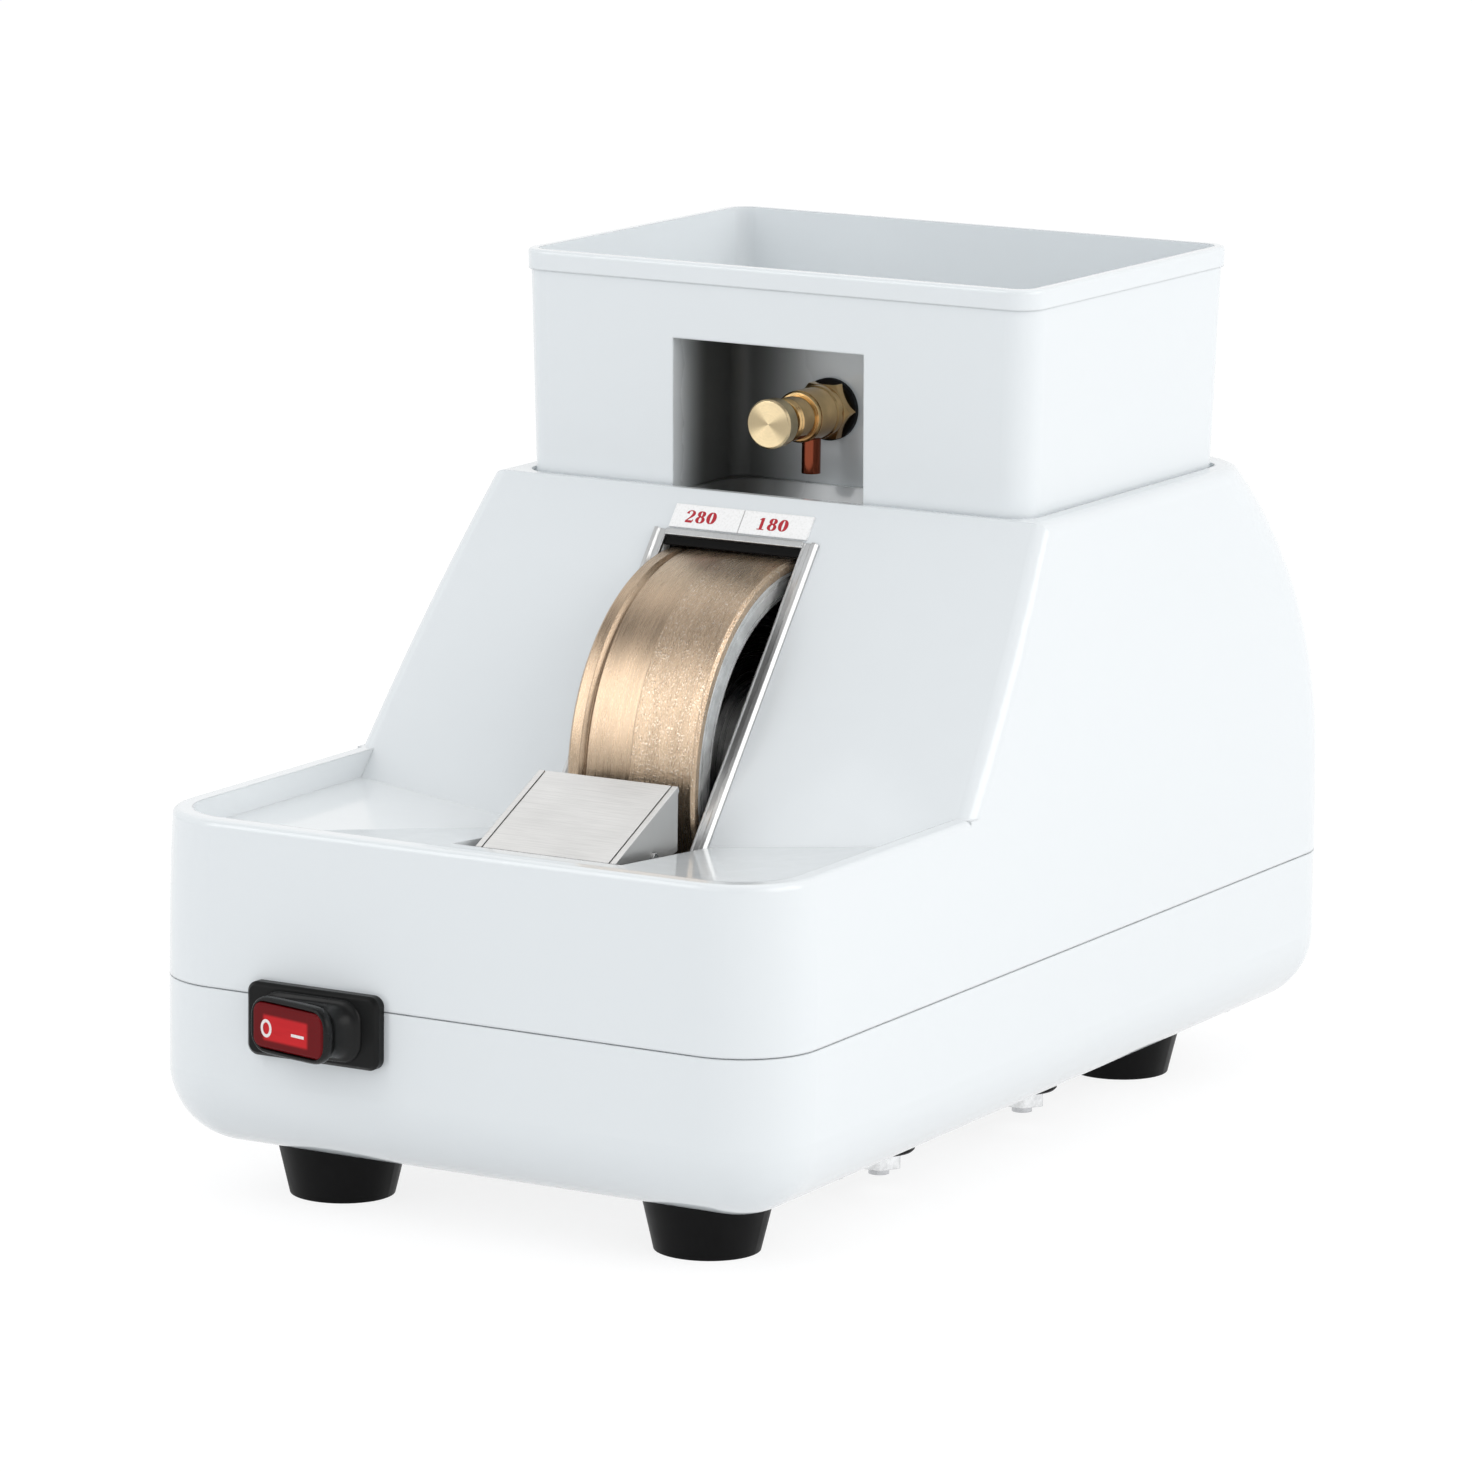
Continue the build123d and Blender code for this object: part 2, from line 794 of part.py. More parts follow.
def make_wheel_nut():
    left = washer_left_x() - wheel_nut_height
    nut = hexagon_z(wheel_nut_flats, left, washer_left_x(), 0, 0)
    nut = nut - rod_z(shaft_radius, left - overrun, washer_left_x() + overrun, 0, 0)
    return along_x(0) * Rot(0, 0, 30) * nut


def make_motor_shaft():
    left = washer_left_x() - wheel_nut_height - shaft_tail
    right = motor_rear_x + edge_break
    shoulder = shaft_radius + cover_thickness / 2
    hub_right = wheel_x + wheel_width / 2
    points = [
        (0, left),
        (0, right),
        (shaft_radius, right),
        (shaft_radius, motor_front_x),
        (shaft_radius, hub_right + cover_thickness),
        (shoulder, hub_right + cover_thickness),
        (shoulder, hub_right),
        (shaft_radius, hub_right),
        (shaft_radius, left + edge_break),
        (shaft_radius - edge_break, left),
    ]
    return along_x(0) * turned(points)


# Motor
def make_motor_rotor():
    left = motor_middle_x - rotor_length / 2
    core = rod_z(rotor_radius, left, left + rotor_length, 0, 0)
    core = core - rod_z(shaft_radius, left - overrun, left + rotor_length + overrun, 0, 0)
    return along_x(0) * core


def make_motor_drum():
    left = motor_front_x + cover_thickness
    right = motor_rear_x - cover_thickness
    drum = rod_z(motor_radius, left, right, 0, 0)
    drum = drum - rod_z(motor_radius - motor_wall, left - overrun, right + overrun, 0, 0)
    core_left = motor_middle_x - rotor_length / 2
    core = rod_z(motor_radius - motor_wall, core_left, core_left + rotor_length, 0, 0)
    core = core - rod_z(rotor_radius + face_gap * 2, core_left - overrun,
                        core_left + rotor_length + overrun, 0, 0)
    return along_x(0) * (drum + core)


def motor_cover(outer_x, inner_x):
    """An end cover with its bearing pocket and a ring of vents."""
    low = min(outer_x, inner_x)
    high = max(outer_x, inner_x)
    inwards = 1 if inner_x > outer_x else -1
    deep = inner_x + inwards * (bearing_width - cover_thickness + face_gap)
    pocket_low = min(outer_x + inwards * edge_break * 2, deep)
    pocket_high = max(outer_x + inwards * edge_break * 2, deep)
    cover = rod_z(motor_radius, low, high, 0, 0)
    cover = cover + rod_z(bearing_radius + motor_wall, min(outer_x, deep), max(outer_x, deep), 0, 0)
    cover = cover - rod_z(bearing_radius, pocket_low, pocket_high, 0, 0)
    cover = cover - rod_z(shaft_radius + face_gap, low - bearing_width, high + bearing_width, 0, 0)
    vent_reach = (bearing_radius + motor_wall + motor_radius) / 2
    slot = Box(vent_reach / 2, vent_width, high - low + 2 * overrun)
    for index in range(vent_count):
        turn = 360 / vent_count * index
        cover = cover - Rot(0, 0, turn) * Pos(vent_reach, 0, (low + high) / 2) * slot
    return along_x(0) * cover


def make_motor_front_cover():
    return motor_cover(motor_front_x, motor_front_x + cover_thickness)


def make_motor_rear_cover():
    return motor_cover(motor_rear_x, motor_rear_x - cover_thickness)


def make_bearing(low_x):
    ring = rod_z(bearing_radius, low_x, low_x + bearing_width, 0, 0)
    ring = ring - rod_z(shaft_radius + running_clearance, low_x - overrun,
                        low_x + bearing_width + overrun, 0, 0)
    return along_x(0) * ring


def make_front_bearing():
    return make_bearing(motor_front_x + edge_break * 2)


def make_rear_bearing():
    return make_bearing(motor_rear_x - edge_break * 2 - bearing_width)


def make_motor_cradle():
    """A folded base with two cheeks that the drum lies in."""
    half_x = cradle_pitch_x / 2 + cradle_margin
    half_y = cradle_pitch_y / 2 + cradle_margin
    middle_y = wheel_y + cradle_shift_y
    base = block(motor_middle_x - half_x, motor_middle_x + half_x,
                 middle_y - half_y, middle_y + half_y, tub_floor_z, tub_floor_z + cradle_sheet)
    for x, y in cradle_places():
        base = base - rod_z(mount_bolt_radius + screw_clearance, 0, wheel_z, x, y)
    half_cheek = cradle_cheek_width / 2
    foot_half = cradle_pitch_y / 2 - 2 * cradle_margin
    ledge = motor_radius + strap_ear + face_gap
    top = wheel_z - face_gap
    for x in sorted({place[0] for place in strap_places()}):
        outline = [
            (wheel_y - foot_half, tub_floor_z),
            (wheel_y + foot_half, tub_floor_z),
            (wheel_y + half_cheek, top - strap_ear),
            (wheel_y + ledge, top - strap_ear),
            (wheel_y + ledge, top),
            (wheel_y - ledge, top),
            (wheel_y - ledge, top - strap_ear),
            (wheel_y - half_cheek, top - strap_ear),
        ]
        cheek = side_prism(outline, strap_width / 2, x)
        window = [
            (wheel_y - foot_half + cradle_margin, tub_floor_z + cradle_margin * 2),
            (wheel_y + foot_half - cradle_margin, tub_floor_z + cradle_margin * 2),
            (wheel_y + foot_half, top - motor_radius - cradle_margin),
            (wheel_y - foot_half, top - motor_radius - cradle_margin),
        ]
        base = base + (cheek - side_prism(window, strap_width, x))
    base = base - rod_x(motor_radius + face_gap / 2, motor_front_x - overrun,
                        motor_rear_x + overrun, wheel_y, wheel_z)
    for x, y in strap_places():
        base = base - rod_z(strap_screw_radius + running_clearance, top - strap_ear + overrun,
                            top + overrun, x, y)
    return base


def make_motor_straps():
    straps = None
    inner = motor_radius + face_gap / 2
    outer = inner + strap_thickness
    for x in sorted({place[0] for place in strap_places()}):
        left = x - strap_width / 2
        right = x + strap_width / 2
        band = rod_x(outer, left, right, wheel_y, wheel_z)
        for side in (-1, 1):
            ear_y0 = wheel_y + side * inner
            ear_y1 = wheel_y + side * (motor_radius + strap_ear)
            band = band + block(left, right, min(ear_y0, ear_y1), max(ear_y0, ear_y1),
                                wheel_z, wheel_z + strap_thickness)
        band = band - rod_x(inner, left - overrun, right + overrun, wheel_y, wheel_z)
        band = band - block(left - overrun, right + overrun, wheel_y - 2 * motor_radius,
                            wheel_y + 2 * motor_radius, wheel_z - 2 * motor_radius, wheel_z)
        straps = band if straps is None else straps + band
    for x, y in strap_places():
        straps = straps - rod_z(strap_screw_radius + screw_clearance, wheel_z - overrun,
                                wheel_z + 2 * strap_thickness, x, y)
    return straps


def screw_group(places, radius, head_flats, head_height, head_z, tip_z):
    """Like screws with hexagon heads at one end, on upright axes."""
    outward = 1 if head_z > tip_z else -1
    group = []
    for x, y in places:
        shank = rod_z(radius, min(head_z, tip_z), max(head_z, tip_z), x, y)
        head_end = head_z + outward * head_height
        head = hexagon_z(head_flats, min(head_z, head_end), max(head_z, head_end), x, y)
        group.append(shank + head)
    return group


def make_strap_screws():
    top = wheel_z + strap_thickness
    return screw_group(strap_places(), strap_screw_radius, strap_head_flats,
                       strap_head_height, top, wheel_z - strap_ear / 2)


def make_mount_bolts():
    top = tub_floor_z + cradle_sheet
    tip = underside_z - mount_washer_height - mount_nut_height - mount_bolt_tail
    return screw_group(cradle_places(), mount_bolt_radius, mount_head_flats,
                       mount_head_height, top, tip)


def make_mount_washers():
    group = []
    for x, y in cradle_places():
        low = underside_z - mount_washer_height
        ring = rod_z(mount_washer_radius, low, underside_z, x, y)
        group.append(ring - rod_z(mount_bolt_radius + running_clearance, low - overrun,
                                  underside_z + overrun, x, y))
    return group


def make_mount_nuts():
    group = []
    for x, y in cradle_places():
        high = underside_z - mount_washer_height
        low = high - mount_nut_height
        nut = hexagon_z(mount_nut_flats, low, high, x, y)
        group.append(nut - rod_z(mount_bolt_radius + running_clearance, low - overrun,
                                 high + overrun, x, y))
    return group


def make_run_capacitor():
    low = tub_floor_z + clip_sheet + capacitor_radius
    half = capacitor_length / 2
    points = [
        (0, -half),
        (capacitor_radius - capacitor_chamfer, -half),
        (capacitor_radius, capacitor_chamfer - half),
        (capacitor_radius, half - capacitor_chamfer),
        (capacitor_radius - capacitor_chamfer, half),
        (0, half),
    ]
    return along_y(capacitor_x, capacitor_y, low) * turned(points)


def make_capacitor_clip():
    low = tub_floor_z + clip_sheet + capacitor_radius
    y0 = capacitor_y - clip_width / 2
    y1 = capacitor_y + clip_width / 2
    ring = rod_y(capacitor_radius + clip_sheet, y0, y1, capacitor_x, low)
    foot = block(capacitor_x - capacitor_radius - clip_width, capacitor_x + capacitor_radius + clip_width,
                 y0, y1, tub_floor_z, tub_floor_z + clip_sheet)
    mouth = block(capacitor_x - capacitor_radius / 2, capacitor_x + capacitor_radius / 2,
                  y0 - overrun, y1 + overrun, low, low + 2 * capacitor_radius)
    clip = ring + foot - rod_y(capacitor_radius, y0 - overrun, y1 + overrun, capacitor_x, low)
    return clip - mouth


def make_terminal_block():
    width = terminal_ways * terminal_pitch
    low = tub_floor_z
    body = block(terminal_x - terminal_depth / 2, terminal_x + terminal_depth / 2,
                 terminal_y - width / 2, terminal_y + width / 2, low, low + terminal_height)
    half_opening = terminal_opening / 2
    middle = low + terminal_height / 2
    top = low + terminal_height
    for index in range(terminal_ways):
        y = terminal_y + (index - (terminal_ways - 1) / 2) * terminal_pitch
        body = body - block(terminal_x - terminal_depth, terminal_x + terminal_depth,
                            y - half_opening, y + half_opening,
                            middle - half_opening, middle + half_opening)
        for side in (-1, 1):
            x = terminal_x + side * terminal_depth / 4
            body = body - block(x - half_opening, x + half_opening, y - half_opening,
                                y + half_opening, middle, top + overrun)
        if index:
            edge_y = y - terminal_pitch / 2
            body = body - block(terminal_x - terminal_depth, terminal_x + terminal_depth,
                                edge_y - terminal_slit / 2, edge_y + terminal_slit / 2,
                                top - terminal_slit_depth, top + overrun)
    return body


# Splash well round the lower wheel
def make_splash_well():
    half = well_half_width
    outer = well_outline(0, half + well_wall)
    inner = well_outline(well_wall, half)
    roof_low = floor_low_z - wall
    headroom = leaning_block(wall + face_gap) - above_incline(wall + face_gap, low_z=roof_low - overrun)
    headroom = headroom + block(-seam_half_width, seam_half_width, -front_reach, back_reach,
                                well_base_z - overrun, seam_z)
    headroom = headroom - tray_space(0, wall + face_gap, wall + face_gap)
    well = (outer - inner) & headroom
    well = well - chute_space(chute_wall + face_gap, 0)
    well = well + rest_ears(outer)
    well = well - rod_x(bearing_radius + face_gap, well_right_x - well_wall - overrun,
                        well_right_x + overrun, wheel_y, wheel_z)
    return well - rod_y(drain_bore, wheel_y, wheel_y + 2 * well_radius, wheel_x, drain_z)


def rest_ears(outer):
    """Two ears that rise from the well's front floor to the lens rest's pin, inside its cheeks."""
    ears = None
    for side in (-1, 1):
        x = wheel_x + side * (rest_width / 2 - rest_sheet - ear_gap - ear_thickness / 2)
        outline = [
            (rest_pin_y - ear_radius, rest_pin_z),
            (rest_pin_y + ear_radius, rest_pin_z),
            (rest_pin_y + ear_foot_half, well_base_z),
            (rest_pin_y - ear_foot_half, well_base_z),
        ]
        ear = side_prism(outline, ear_thickness / 2, x) & outer
        ear = ear + rod_x(ear_radius, x - ear_thickness / 2, x + ear_thickness / 2, rest_pin_y, rest_pin_z)
        ear = ear - rod_x(rest_pin_radius + running_clearance, x - ear_thickness, x + ear_thickness,
                          rest_pin_y, rest_pin_z)
        ears = ear if ears is None else ears + ear
    return ears


def well_outline(inset, half_width):
    """The well's side view: a round back and a straight front that reaches under the rest."""
    radius = well_radius - inset
    low = well_base_z + inset
    top = platform_z - wall
    drum = rod_x(radius, wheel_x - half_width, wheel_x + half_width, wheel_y, wheel_z)
    points = [
        (well_front_y + inset, floor_low_z - wall),
        (well_front_y + inset, floor_low_z - wall - well_front_wall_height),
        (wheel_y - well_radius / 2, low),
        (wheel_y + well_radius - inset, low),
        (wheel_y + well_radius - inset, wheel_z),
        (wheel_y + well_radius / 2, wheel_z + well_shoulder_rise - inset),
        (wheel_y, wheel_z + well_shoulder_rise - inset),
        (wheel_y - well_radius / 2, wheel_z),
    ]
    body = side_prism(points, half_width, wheel_x)
    return (body + drum) & block(-seam_half_width, seam_half_width, -front_reach, back_reach, low, top)


def make_shaft_seal():
    left = well_right_x - well_wall
    points = [
        (shaft_radius + running_clearance, left),
        (shaft_radius + running_clearance, left + well_wall),
        (bearing_radius + face_gap, left + well_wall),
        (bearing_radius + face_gap, left),
    ]
    return along_x(0) * turned(points)


def make_drain_pipe():
    """A straight pipe out of the well's back, with a flange and a plain spigot for a hose."""
    start = wheel_y + well_radius
    flange_end = back_reach + drain_flange_length
    end = flange_end + drain_spigot_length + drain_lead
    points = [
        (drain_bore, start),
        (drain_bore, end),
        (drain_spigot_radius - drain_lead, end),
        (drain_spigot_radius, end - drain_lead),
        (drain_spigot_radius, flange_end),
        (drain_flange_radius, flange_end),
        (drain_flange_radius, back_reach),
        (drain_pipe_radius, back_reach),
        (drain_pipe_radius, start),
    ]
    return along_y(wheel_x, 0, drain_z) * turned(points)


# Frame and plates on the incline
def make_slot_frame():
    """Two channelled rails and the bar that joins them at the top."""
    length = frame_top_s - frame_bottom_s
    section = [(slot_half_width + share * frame_rail, rise * frame_thickness)
               for share, rise in frame_profile_shares]
    outline = make_face(Polyline(*section, close=True))
    rail = extrude(Plane.XZ * outline, -length)
    bar = block(-slot_half_width, slot_half_width, length - frame_top_rail, length,
                0, frame_thickness)
    frame = mirrored_pair(rail) + bar
    return incline_place(wheel_x, frame_bottom_s) * frame


def make_splash_lip():
    """A rubber strip at the slot's upper end, hollowed to follow the wheel."""
    width = 2 * (slot_half_width - face_gap)
    depth = splash_lip_depth + splash_lip_rise
    middle = slot_top_s - splash_lip_length / 2
    strip = incline_place(wheel_x, middle, splash_lip_rise - depth / 2) * Box(
        width, splash_lip_length, depth)
    return strip - rod_x(wheel_radius + splash_lip_gap, wheel_x - slot_half_width,
                         wheel_x + slot_half_width, wheel_y, wheel_z)


def make_grit_plate(side):
    plate = Box(plate_width - edge_break / 2, plate_height, plate_thickness)
    x = wheel_x + side * plate_width / 2
    return incline_place(x, plate_bottom_s + plate_height / 2, plate_thickness / 2) * plate


def make_fine_plate():
    return make_grit_plate(-1)


def make_coarse_plate():
    return make_grit_plate(1)


# Lens rest
def rest_line(distance, drop=0):
    """A point down the rest's top face, measured from its rear edge."""
    lean = radians(rest_angle)
    y = rest_rear_y - distance * cos(lean) + drop * sin(lean)
    z = rest_rear_z - distance * sin(lean) - drop * cos(lean)
    return (y, z)


def make_lens_rest():
    """A folded sheet: a sloping top, a groove along each fold and a cheek at each side."""
    half = rest_width / 2
    top = [rest_line(0), rest_line(rest_length), rest_line(rest_length, rest_sheet),
           rest_line(0, rest_sheet)]
    rest = side_prism(top, half, wheel_x)
    heel = (rest_rear_y, rest_rear_z - cheek_rear_drop)
    toe = (rest_pin_y - cheek_toe_reach, rest_pin_z - cheek_toe_drop)
    groove_outline = [rest_line(-overrun, -overrun), rest_line(rest_length + overrun, -overrun),
                      rest_line(rest_length + overrun, rest_groove_depth),
                      rest_line(-overrun, rest_groove_depth)]
    for side in (-1, 1):
        x = wheel_x + side * (half - rest_sheet / 2)
        rest = rest + side_prism([rest_line(0), rest_line(rest_length), toe, heel], rest_sheet / 2, x)
    for side in (-1, 1):
        x = wheel_x + side * (half - rest_sheet - rest_groove_width / 2)
        rest = rest - side_prism(groove_outline, rest_groove_width / 2, x)
    hole = rod_x(rest_pin_radius + running_clearance, wheel_x - rest_width, wheel_x + rest_width,
                 rest_pin_y, rest_pin_z)
    return rest - hole


def make_rest_pin():
    reach = rest_width / 2 + rest_pin_tail
    return rod_x(rest_pin_radius, wheel_x - reach, wheel_x + reach, rest_pin_y, rest_pin_z)


# Water tank
def tank_section(z, step=0):
    """Half width, front and back of the drafted tank at a height."""
    lean = (tank_top_z - z) * tan(radians(tank_draft)) + step
    return tank_half_width - lean, tank_front_y + lean, tank_back_y - lean


def tank_block(low_z, high_z, inset, step=0):
    ends = []
    for z in (low_z, high_z):
        half, front, back = tank_section(z, step + inset)
        outline = RectangleRounded(2 * half, back - front, tank_corner - inset)
        ends.append(Pos(0, (front + back) / 2, z) * outline)
    return loft(ends, ruled=True)


def niche_block(grow, low_z):
    """The niche's space, grown by a wall where its own walls are wanted."""
    depth = niche_back_y + grow - tank_front_y + overrun
    middle_y = niche_back_y + grow - depth / 2
    width = niche_right_x - niche_left_x + 2 * grow
    top = niche_top_z + grow
    space = Pos(niche_centre_x, middle_y, (low_z + top) / 2) * Box(width, depth, top - low_z)
    edges = [edge for edge in space.edges().filter_by(Axis.Z) if edge.center().Y > middle_y]
    return fillet(edges, niche_corner + grow)


def make_water_tank():
    split = tank_top_z - band_height
    body = tank_block(tank_base_z, split, 0, band_step)
    rim = tank_block(split, tank_top_z, 0)
    rim = fillet(rim.faces().sort_by(Axis.Z)[-1].edges(), rim_edge)
    tank = body + rim
    inside = tank_block(tank_base_z + tank_floor, tank_top_z + overrun, tank_wall)
    inside = inside - niche_block(tank_wall, tank_base_z - overrun)
    tank = tank - inside - niche_block(0, tank_base_z - overrun)
    bore = rod_y(tap_shank_radius + screw_clearance, niche_back_y - overrun,
                 niche_back_y + tank_wall + overrun, tap_x, tap_z)
    return tank - bore


# Tap, built along Y from the niche's back wall towards the user
tap_hex_back = niche_back_y - tap_gasket_thickness
tap_hex_front = tap_hex_back - tap_hex_length
tap_collar_front = tap_hex_front - tap_collar_length
tap_barrel_front = tap_collar_front - tap_barrel_length
tap_stem_front = tap_barrel_front - tap_stem_length
tap_neck_back = tap_stem_front - face_gap
tap_knob_back = tap_neck_back - tap_neck_length
tap_knob_front = tap_knob_back - tap_knob_length
tap_shank_back = niche_back_y + tank_wall + tap_gasket_thickness + tap_nut_length + tap_shank_tail
spout_y = tap_hex_back - spout_from_hex
spout_top_z = tap_z - tap_barrel_radius + spout_radius


def make_tap_gasket():
    points = [
        (tap_shank_radius + running_clearance, tap_hex_back),
        (tap_gasket_radius, tap_hex_back),
        (tap_gasket_radius, niche_back_y),
        (tap_shank_radius + running_clearance, niche_back_y),
    ]
    return along_y(tap_x, 0, tap_z) * turned(points)


def make_tap_washer():
    start = niche_back_y + tank_wall
    points = [
        (tap_shank_radius + running_clearance, start),
        (tap_gasket_radius, start),
        (tap_gasket_radius, start + tap_gasket_thickness),
        (tap_shank_radius + running_clearance, start + tap_gasket_thickness),
    ]
    return along_y(tap_x, 0, tap_z) * turned(points)


def make_tap_backnut():
    start = niche_back_y + tank_wall + tap_gasket_thickness
    nut = hexagon_z(tap_nut_flats, start, start + tap_nut_length, 0, 0)
    nut = nut - rod_z(tap_shank_radius + running_clearance, start - overrun,
                      start + tap_nut_length + overrun, 0, 0)
    return along_y(tap_x, 0, tap_z) * nut


def make_tap_body():
    spindle = tap_spindle_radius + running_clearance
    seat = tap_collar_front
    ring = edge_break
    points = [
        (tap_bore_radius, tap_shank_back),
        (tap_shank_radius, tap_shank_back),
        (tap_shank_radius, tap_hex_front),
        (tap_collar_radius, tap_hex_front),
        (tap_collar_radius, tap_collar_front + ring),
        (tap_collar_radius - ring, tap_collar_front),
        (tap_barrel_radius, tap_collar_front),
        (tap_barrel_radius, tap_barrel_front + 2 * ring),
        (tap_barrel_radius - ring, tap_barrel_front + 2 * ring),
        (tap_barrel_radius - ring, tap_barrel_front + ring),
        (tap_barrel_radius, tap_barrel_front + ring),
        (tap_barrel_radius - ring, tap_barrel_front),
        (tap_stem_radius, tap_barrel_front),
        (tap_stem_radius, tap_stem_front + 3 * ring),
        (tap_stem_radius - ring, tap_stem_front + 2 * ring),
        (tap_stem_radius, tap_stem_front + ring),
        (tap_stem_radius - ring, tap_stem_front),
        (spindle, tap_stem_front),
        (spindle, seat),
        (tap_bore_radius, seat),
    ]
    body = turned(points)
    hexagon = hexagon_z(tap_hex_flats, tap_hex_front, tap_hex_back, 0, 0)
    dome = turned([
        (0, tap_hex_front), (tap_hex_flats / 2, tap_hex_front),
        (tap_hex_flats / 2 + 2 * ring, tap_hex_front + 2 * ring),
        (tap_hex_flats / 2 + 2 * ring, tap_hex_back), (0, tap_hex_back)])
    hexagon = hexagon & dome
    hexagon = hexagon - rod_z(tap_bore_radius, tap_hex_front - overrun, tap_hex_back + overrun, 0, 0)
    body = along_y(tap_x, 0, tap_z) * (body + hexagon)
    socket = rod_z(spout_radius + running_clearance, tap_z - 2 * tap_barrel_radius,
                   spout_top_z + face_gap, tap_x, spout_y)
    return body - socket


def make_tap_knob():
    ring = edge_break
    points = [
        (0, tap_knob_front),
        (tap_knob_radius - ring, tap_knob_front),
        (tap_knob_radius, tap_knob_front + ring),
        (tap_knob_radius, tap_knob_back - ring),
        (tap_knob_radius - ring, tap_knob_back),
        (tap_neck_radius, tap_knob_back),
        (tap_neck_radius, tap_neck_back),
        (tap_spindle_radius, tap_neck_back),
        (tap_spindle_radius, tap_barrel_front),
        (0, tap_barrel_front + tap_spindle_radius),
    ]
    return along_y(tap_x, 0, tap_z) * turned(points)


def make_tap_spout():
    tube = rod_z(spout_radius, spout_tip_z, spout_top_z, tap_x, spout_y)
    return tube - rod_z(spout_bore_radius, spout_tip_z - overrun, spout_top_z + overrun,
                        tap_x, spout_y)


# Switch, built on the front wall
def front_plate(width, height, corner, near, far, x=switch_x, z=switch_z):
    """A round-cornered plate in front of the wall, between two distances from its face."""
    outline = RectangleRounded(width, height, corner)
    return Pos(x, front_y - near, z) * Rot(90, 0, 0) * extrude(outline, far - near)


def make_switch_bezel():
    bezel = front_plate(bezel_width, bezel_height, bezel_corner, 0, bezel_depth)
    face = bezel.faces().sort_by(Axis.Y)[0]
    bezel = chamfer(face.edges(), bezel_chamfer)
    hole = front_plate(boot_width - 2 * boot_wall, boot_height - 2 * boot_wall,
                       boot_corner - boot_wall, -overrun, bezel_depth + overrun)
    return bezel - hole


def make_switch_boot():
    """The rubber skirt's fixed foot, clamped on the bezel."""
    near = bezel_depth
    outline = RectangleRounded(boot_width, boot_height, boot_corner)
    skirt = extrude(outline, boot_depth, taper=boot_draft)
    skirt = Pos(switch_x, front_y - near, switch_z) * Rot(90, 0, 0) * skirt
    hole = front_plate(boot_width - 2 * boot_wall - 2 * edge_break,
                       boot_height - 2 * boot_wall - 2 * edge_break,
                       boot_corner - boot_wall - edge_break, near - overrun, near + boot_depth + overrun)
    return skirt - hole


def rocker_place():
    return Pos(switch_x, front_y, switch_z) * Rot(0, 0, -rocker_tilt) * Rot(90, 0, 0)


def make_rocker_cap():
    """The tilting head, its stalk and its pivot barrel."""
    back = rocker_reach - cap_depth
    head = Pos(0, 0, back) * extrude(RectangleRounded(cap_width, cap_height, cap_corner), cap_depth)
    face = head.faces().sort_by(Axis.Z)[-1]
    head = chamfer(face.edges(), cap_chamfer)
    stalk = Pos(0, 0, -pivot_radius) * extrude(
        RectangleRounded(stalk_width, stalk_height, pivot_radius), back + pivot_radius)
    pocket = Pos(0, 0, rocker_reach - lens_seat) * extrude(
        RectangleRounded(lens_width, lens_height, lens_corner), lens_seat + overrun)
    barrel = Rot(90, 0, 0) * Cylinder(pivot_radius, switch_body_height - 2 * pivot_radius)
    return rocker_place() * (head + stalk + barrel - pocket)


def make_rocker_lens():
    lens = Pos(0, 0, rocker_reach - lens_seat) * extrude(
        RectangleRounded(lens_width, lens_height, lens_corner), lens_seat + lens_proud)
    face = lens.faces().sort_by(Axis.Z)[-1]
    lens = chamfer(face.edges(), edge_break)
    return rocker_place() * lens


def make_switch_body():
    half = switch_body_width / 2
    high = switch_body_height / 2
    body = block(switch_x - half, switch_x + half, front_y, front_y + switch_body_depth,
                 switch_z - high, switch_z + high)
    cavity = block(switch_x - half + 2 * edge_break, switch_x + half - 2 * edge_break,
                   front_y - overrun, front_y + switch_cavity_depth,
                   switch_z - stalk_height / 2 - face_gap, switch_z + stalk_height / 2 + face_gap)
    socket = rod_z(pivot_radius + running_clearance,
                   switch_z - switch_body_height / 2 + pivot_radius - face_gap,
                   switch_z + switch_body_height / 2 - pivot_radius + face_gap, switch_x, front_y)
    return body - cavity - socket


def make_switch_terminals():
    blades = []
    start = front_y + switch_body_depth
    for index in range(terminal_blade_count):
        x = switch_x + (index - (terminal_blade_count - 1) / 2) * switch_body_width / terminal_blade_count
        blades.append(block(x - terminal_blade_sheet / 2, x + terminal_blade_sheet / 2,
                            start, start + terminal_blade_length,
                            switch_z - terminal_blade_width / 2, switch_z + terminal_blade_width / 2))
    return blades


# Feet, casing screws and gland
def make_rubber_feet():
    feet = []
    for x, y in foot_places():
        points = [
            (foot_screw_radius + running_clearance, foot_recess_depth),
            (foot_recess_radius, foot_recess_depth),
            (foot_recess_radius, 0),
            (foot_base_radius, 0),
            (foot_top_radius, underside_z),
            (foot_screw_radius + running_clearance, underside_z),
        ]
        feet.append(Pos(x, y, 0) * turned(points))
    return feet


def make_foot_screws():
    return screw_group(foot_places(), foot_screw_radius, foot_head_flats, foot_head_height,
                       foot_recess_depth, tub_floor_z + foot_boss_height - 2 * edge_break)


def make_casing_screws():
    return screw_group(casing_screw_places(), casing_screw_radius, casing_head_flats,
                       casing_head_height, underside_z + counterbore_depth,
                       seam_z + casing_screw_bite - edge_break)


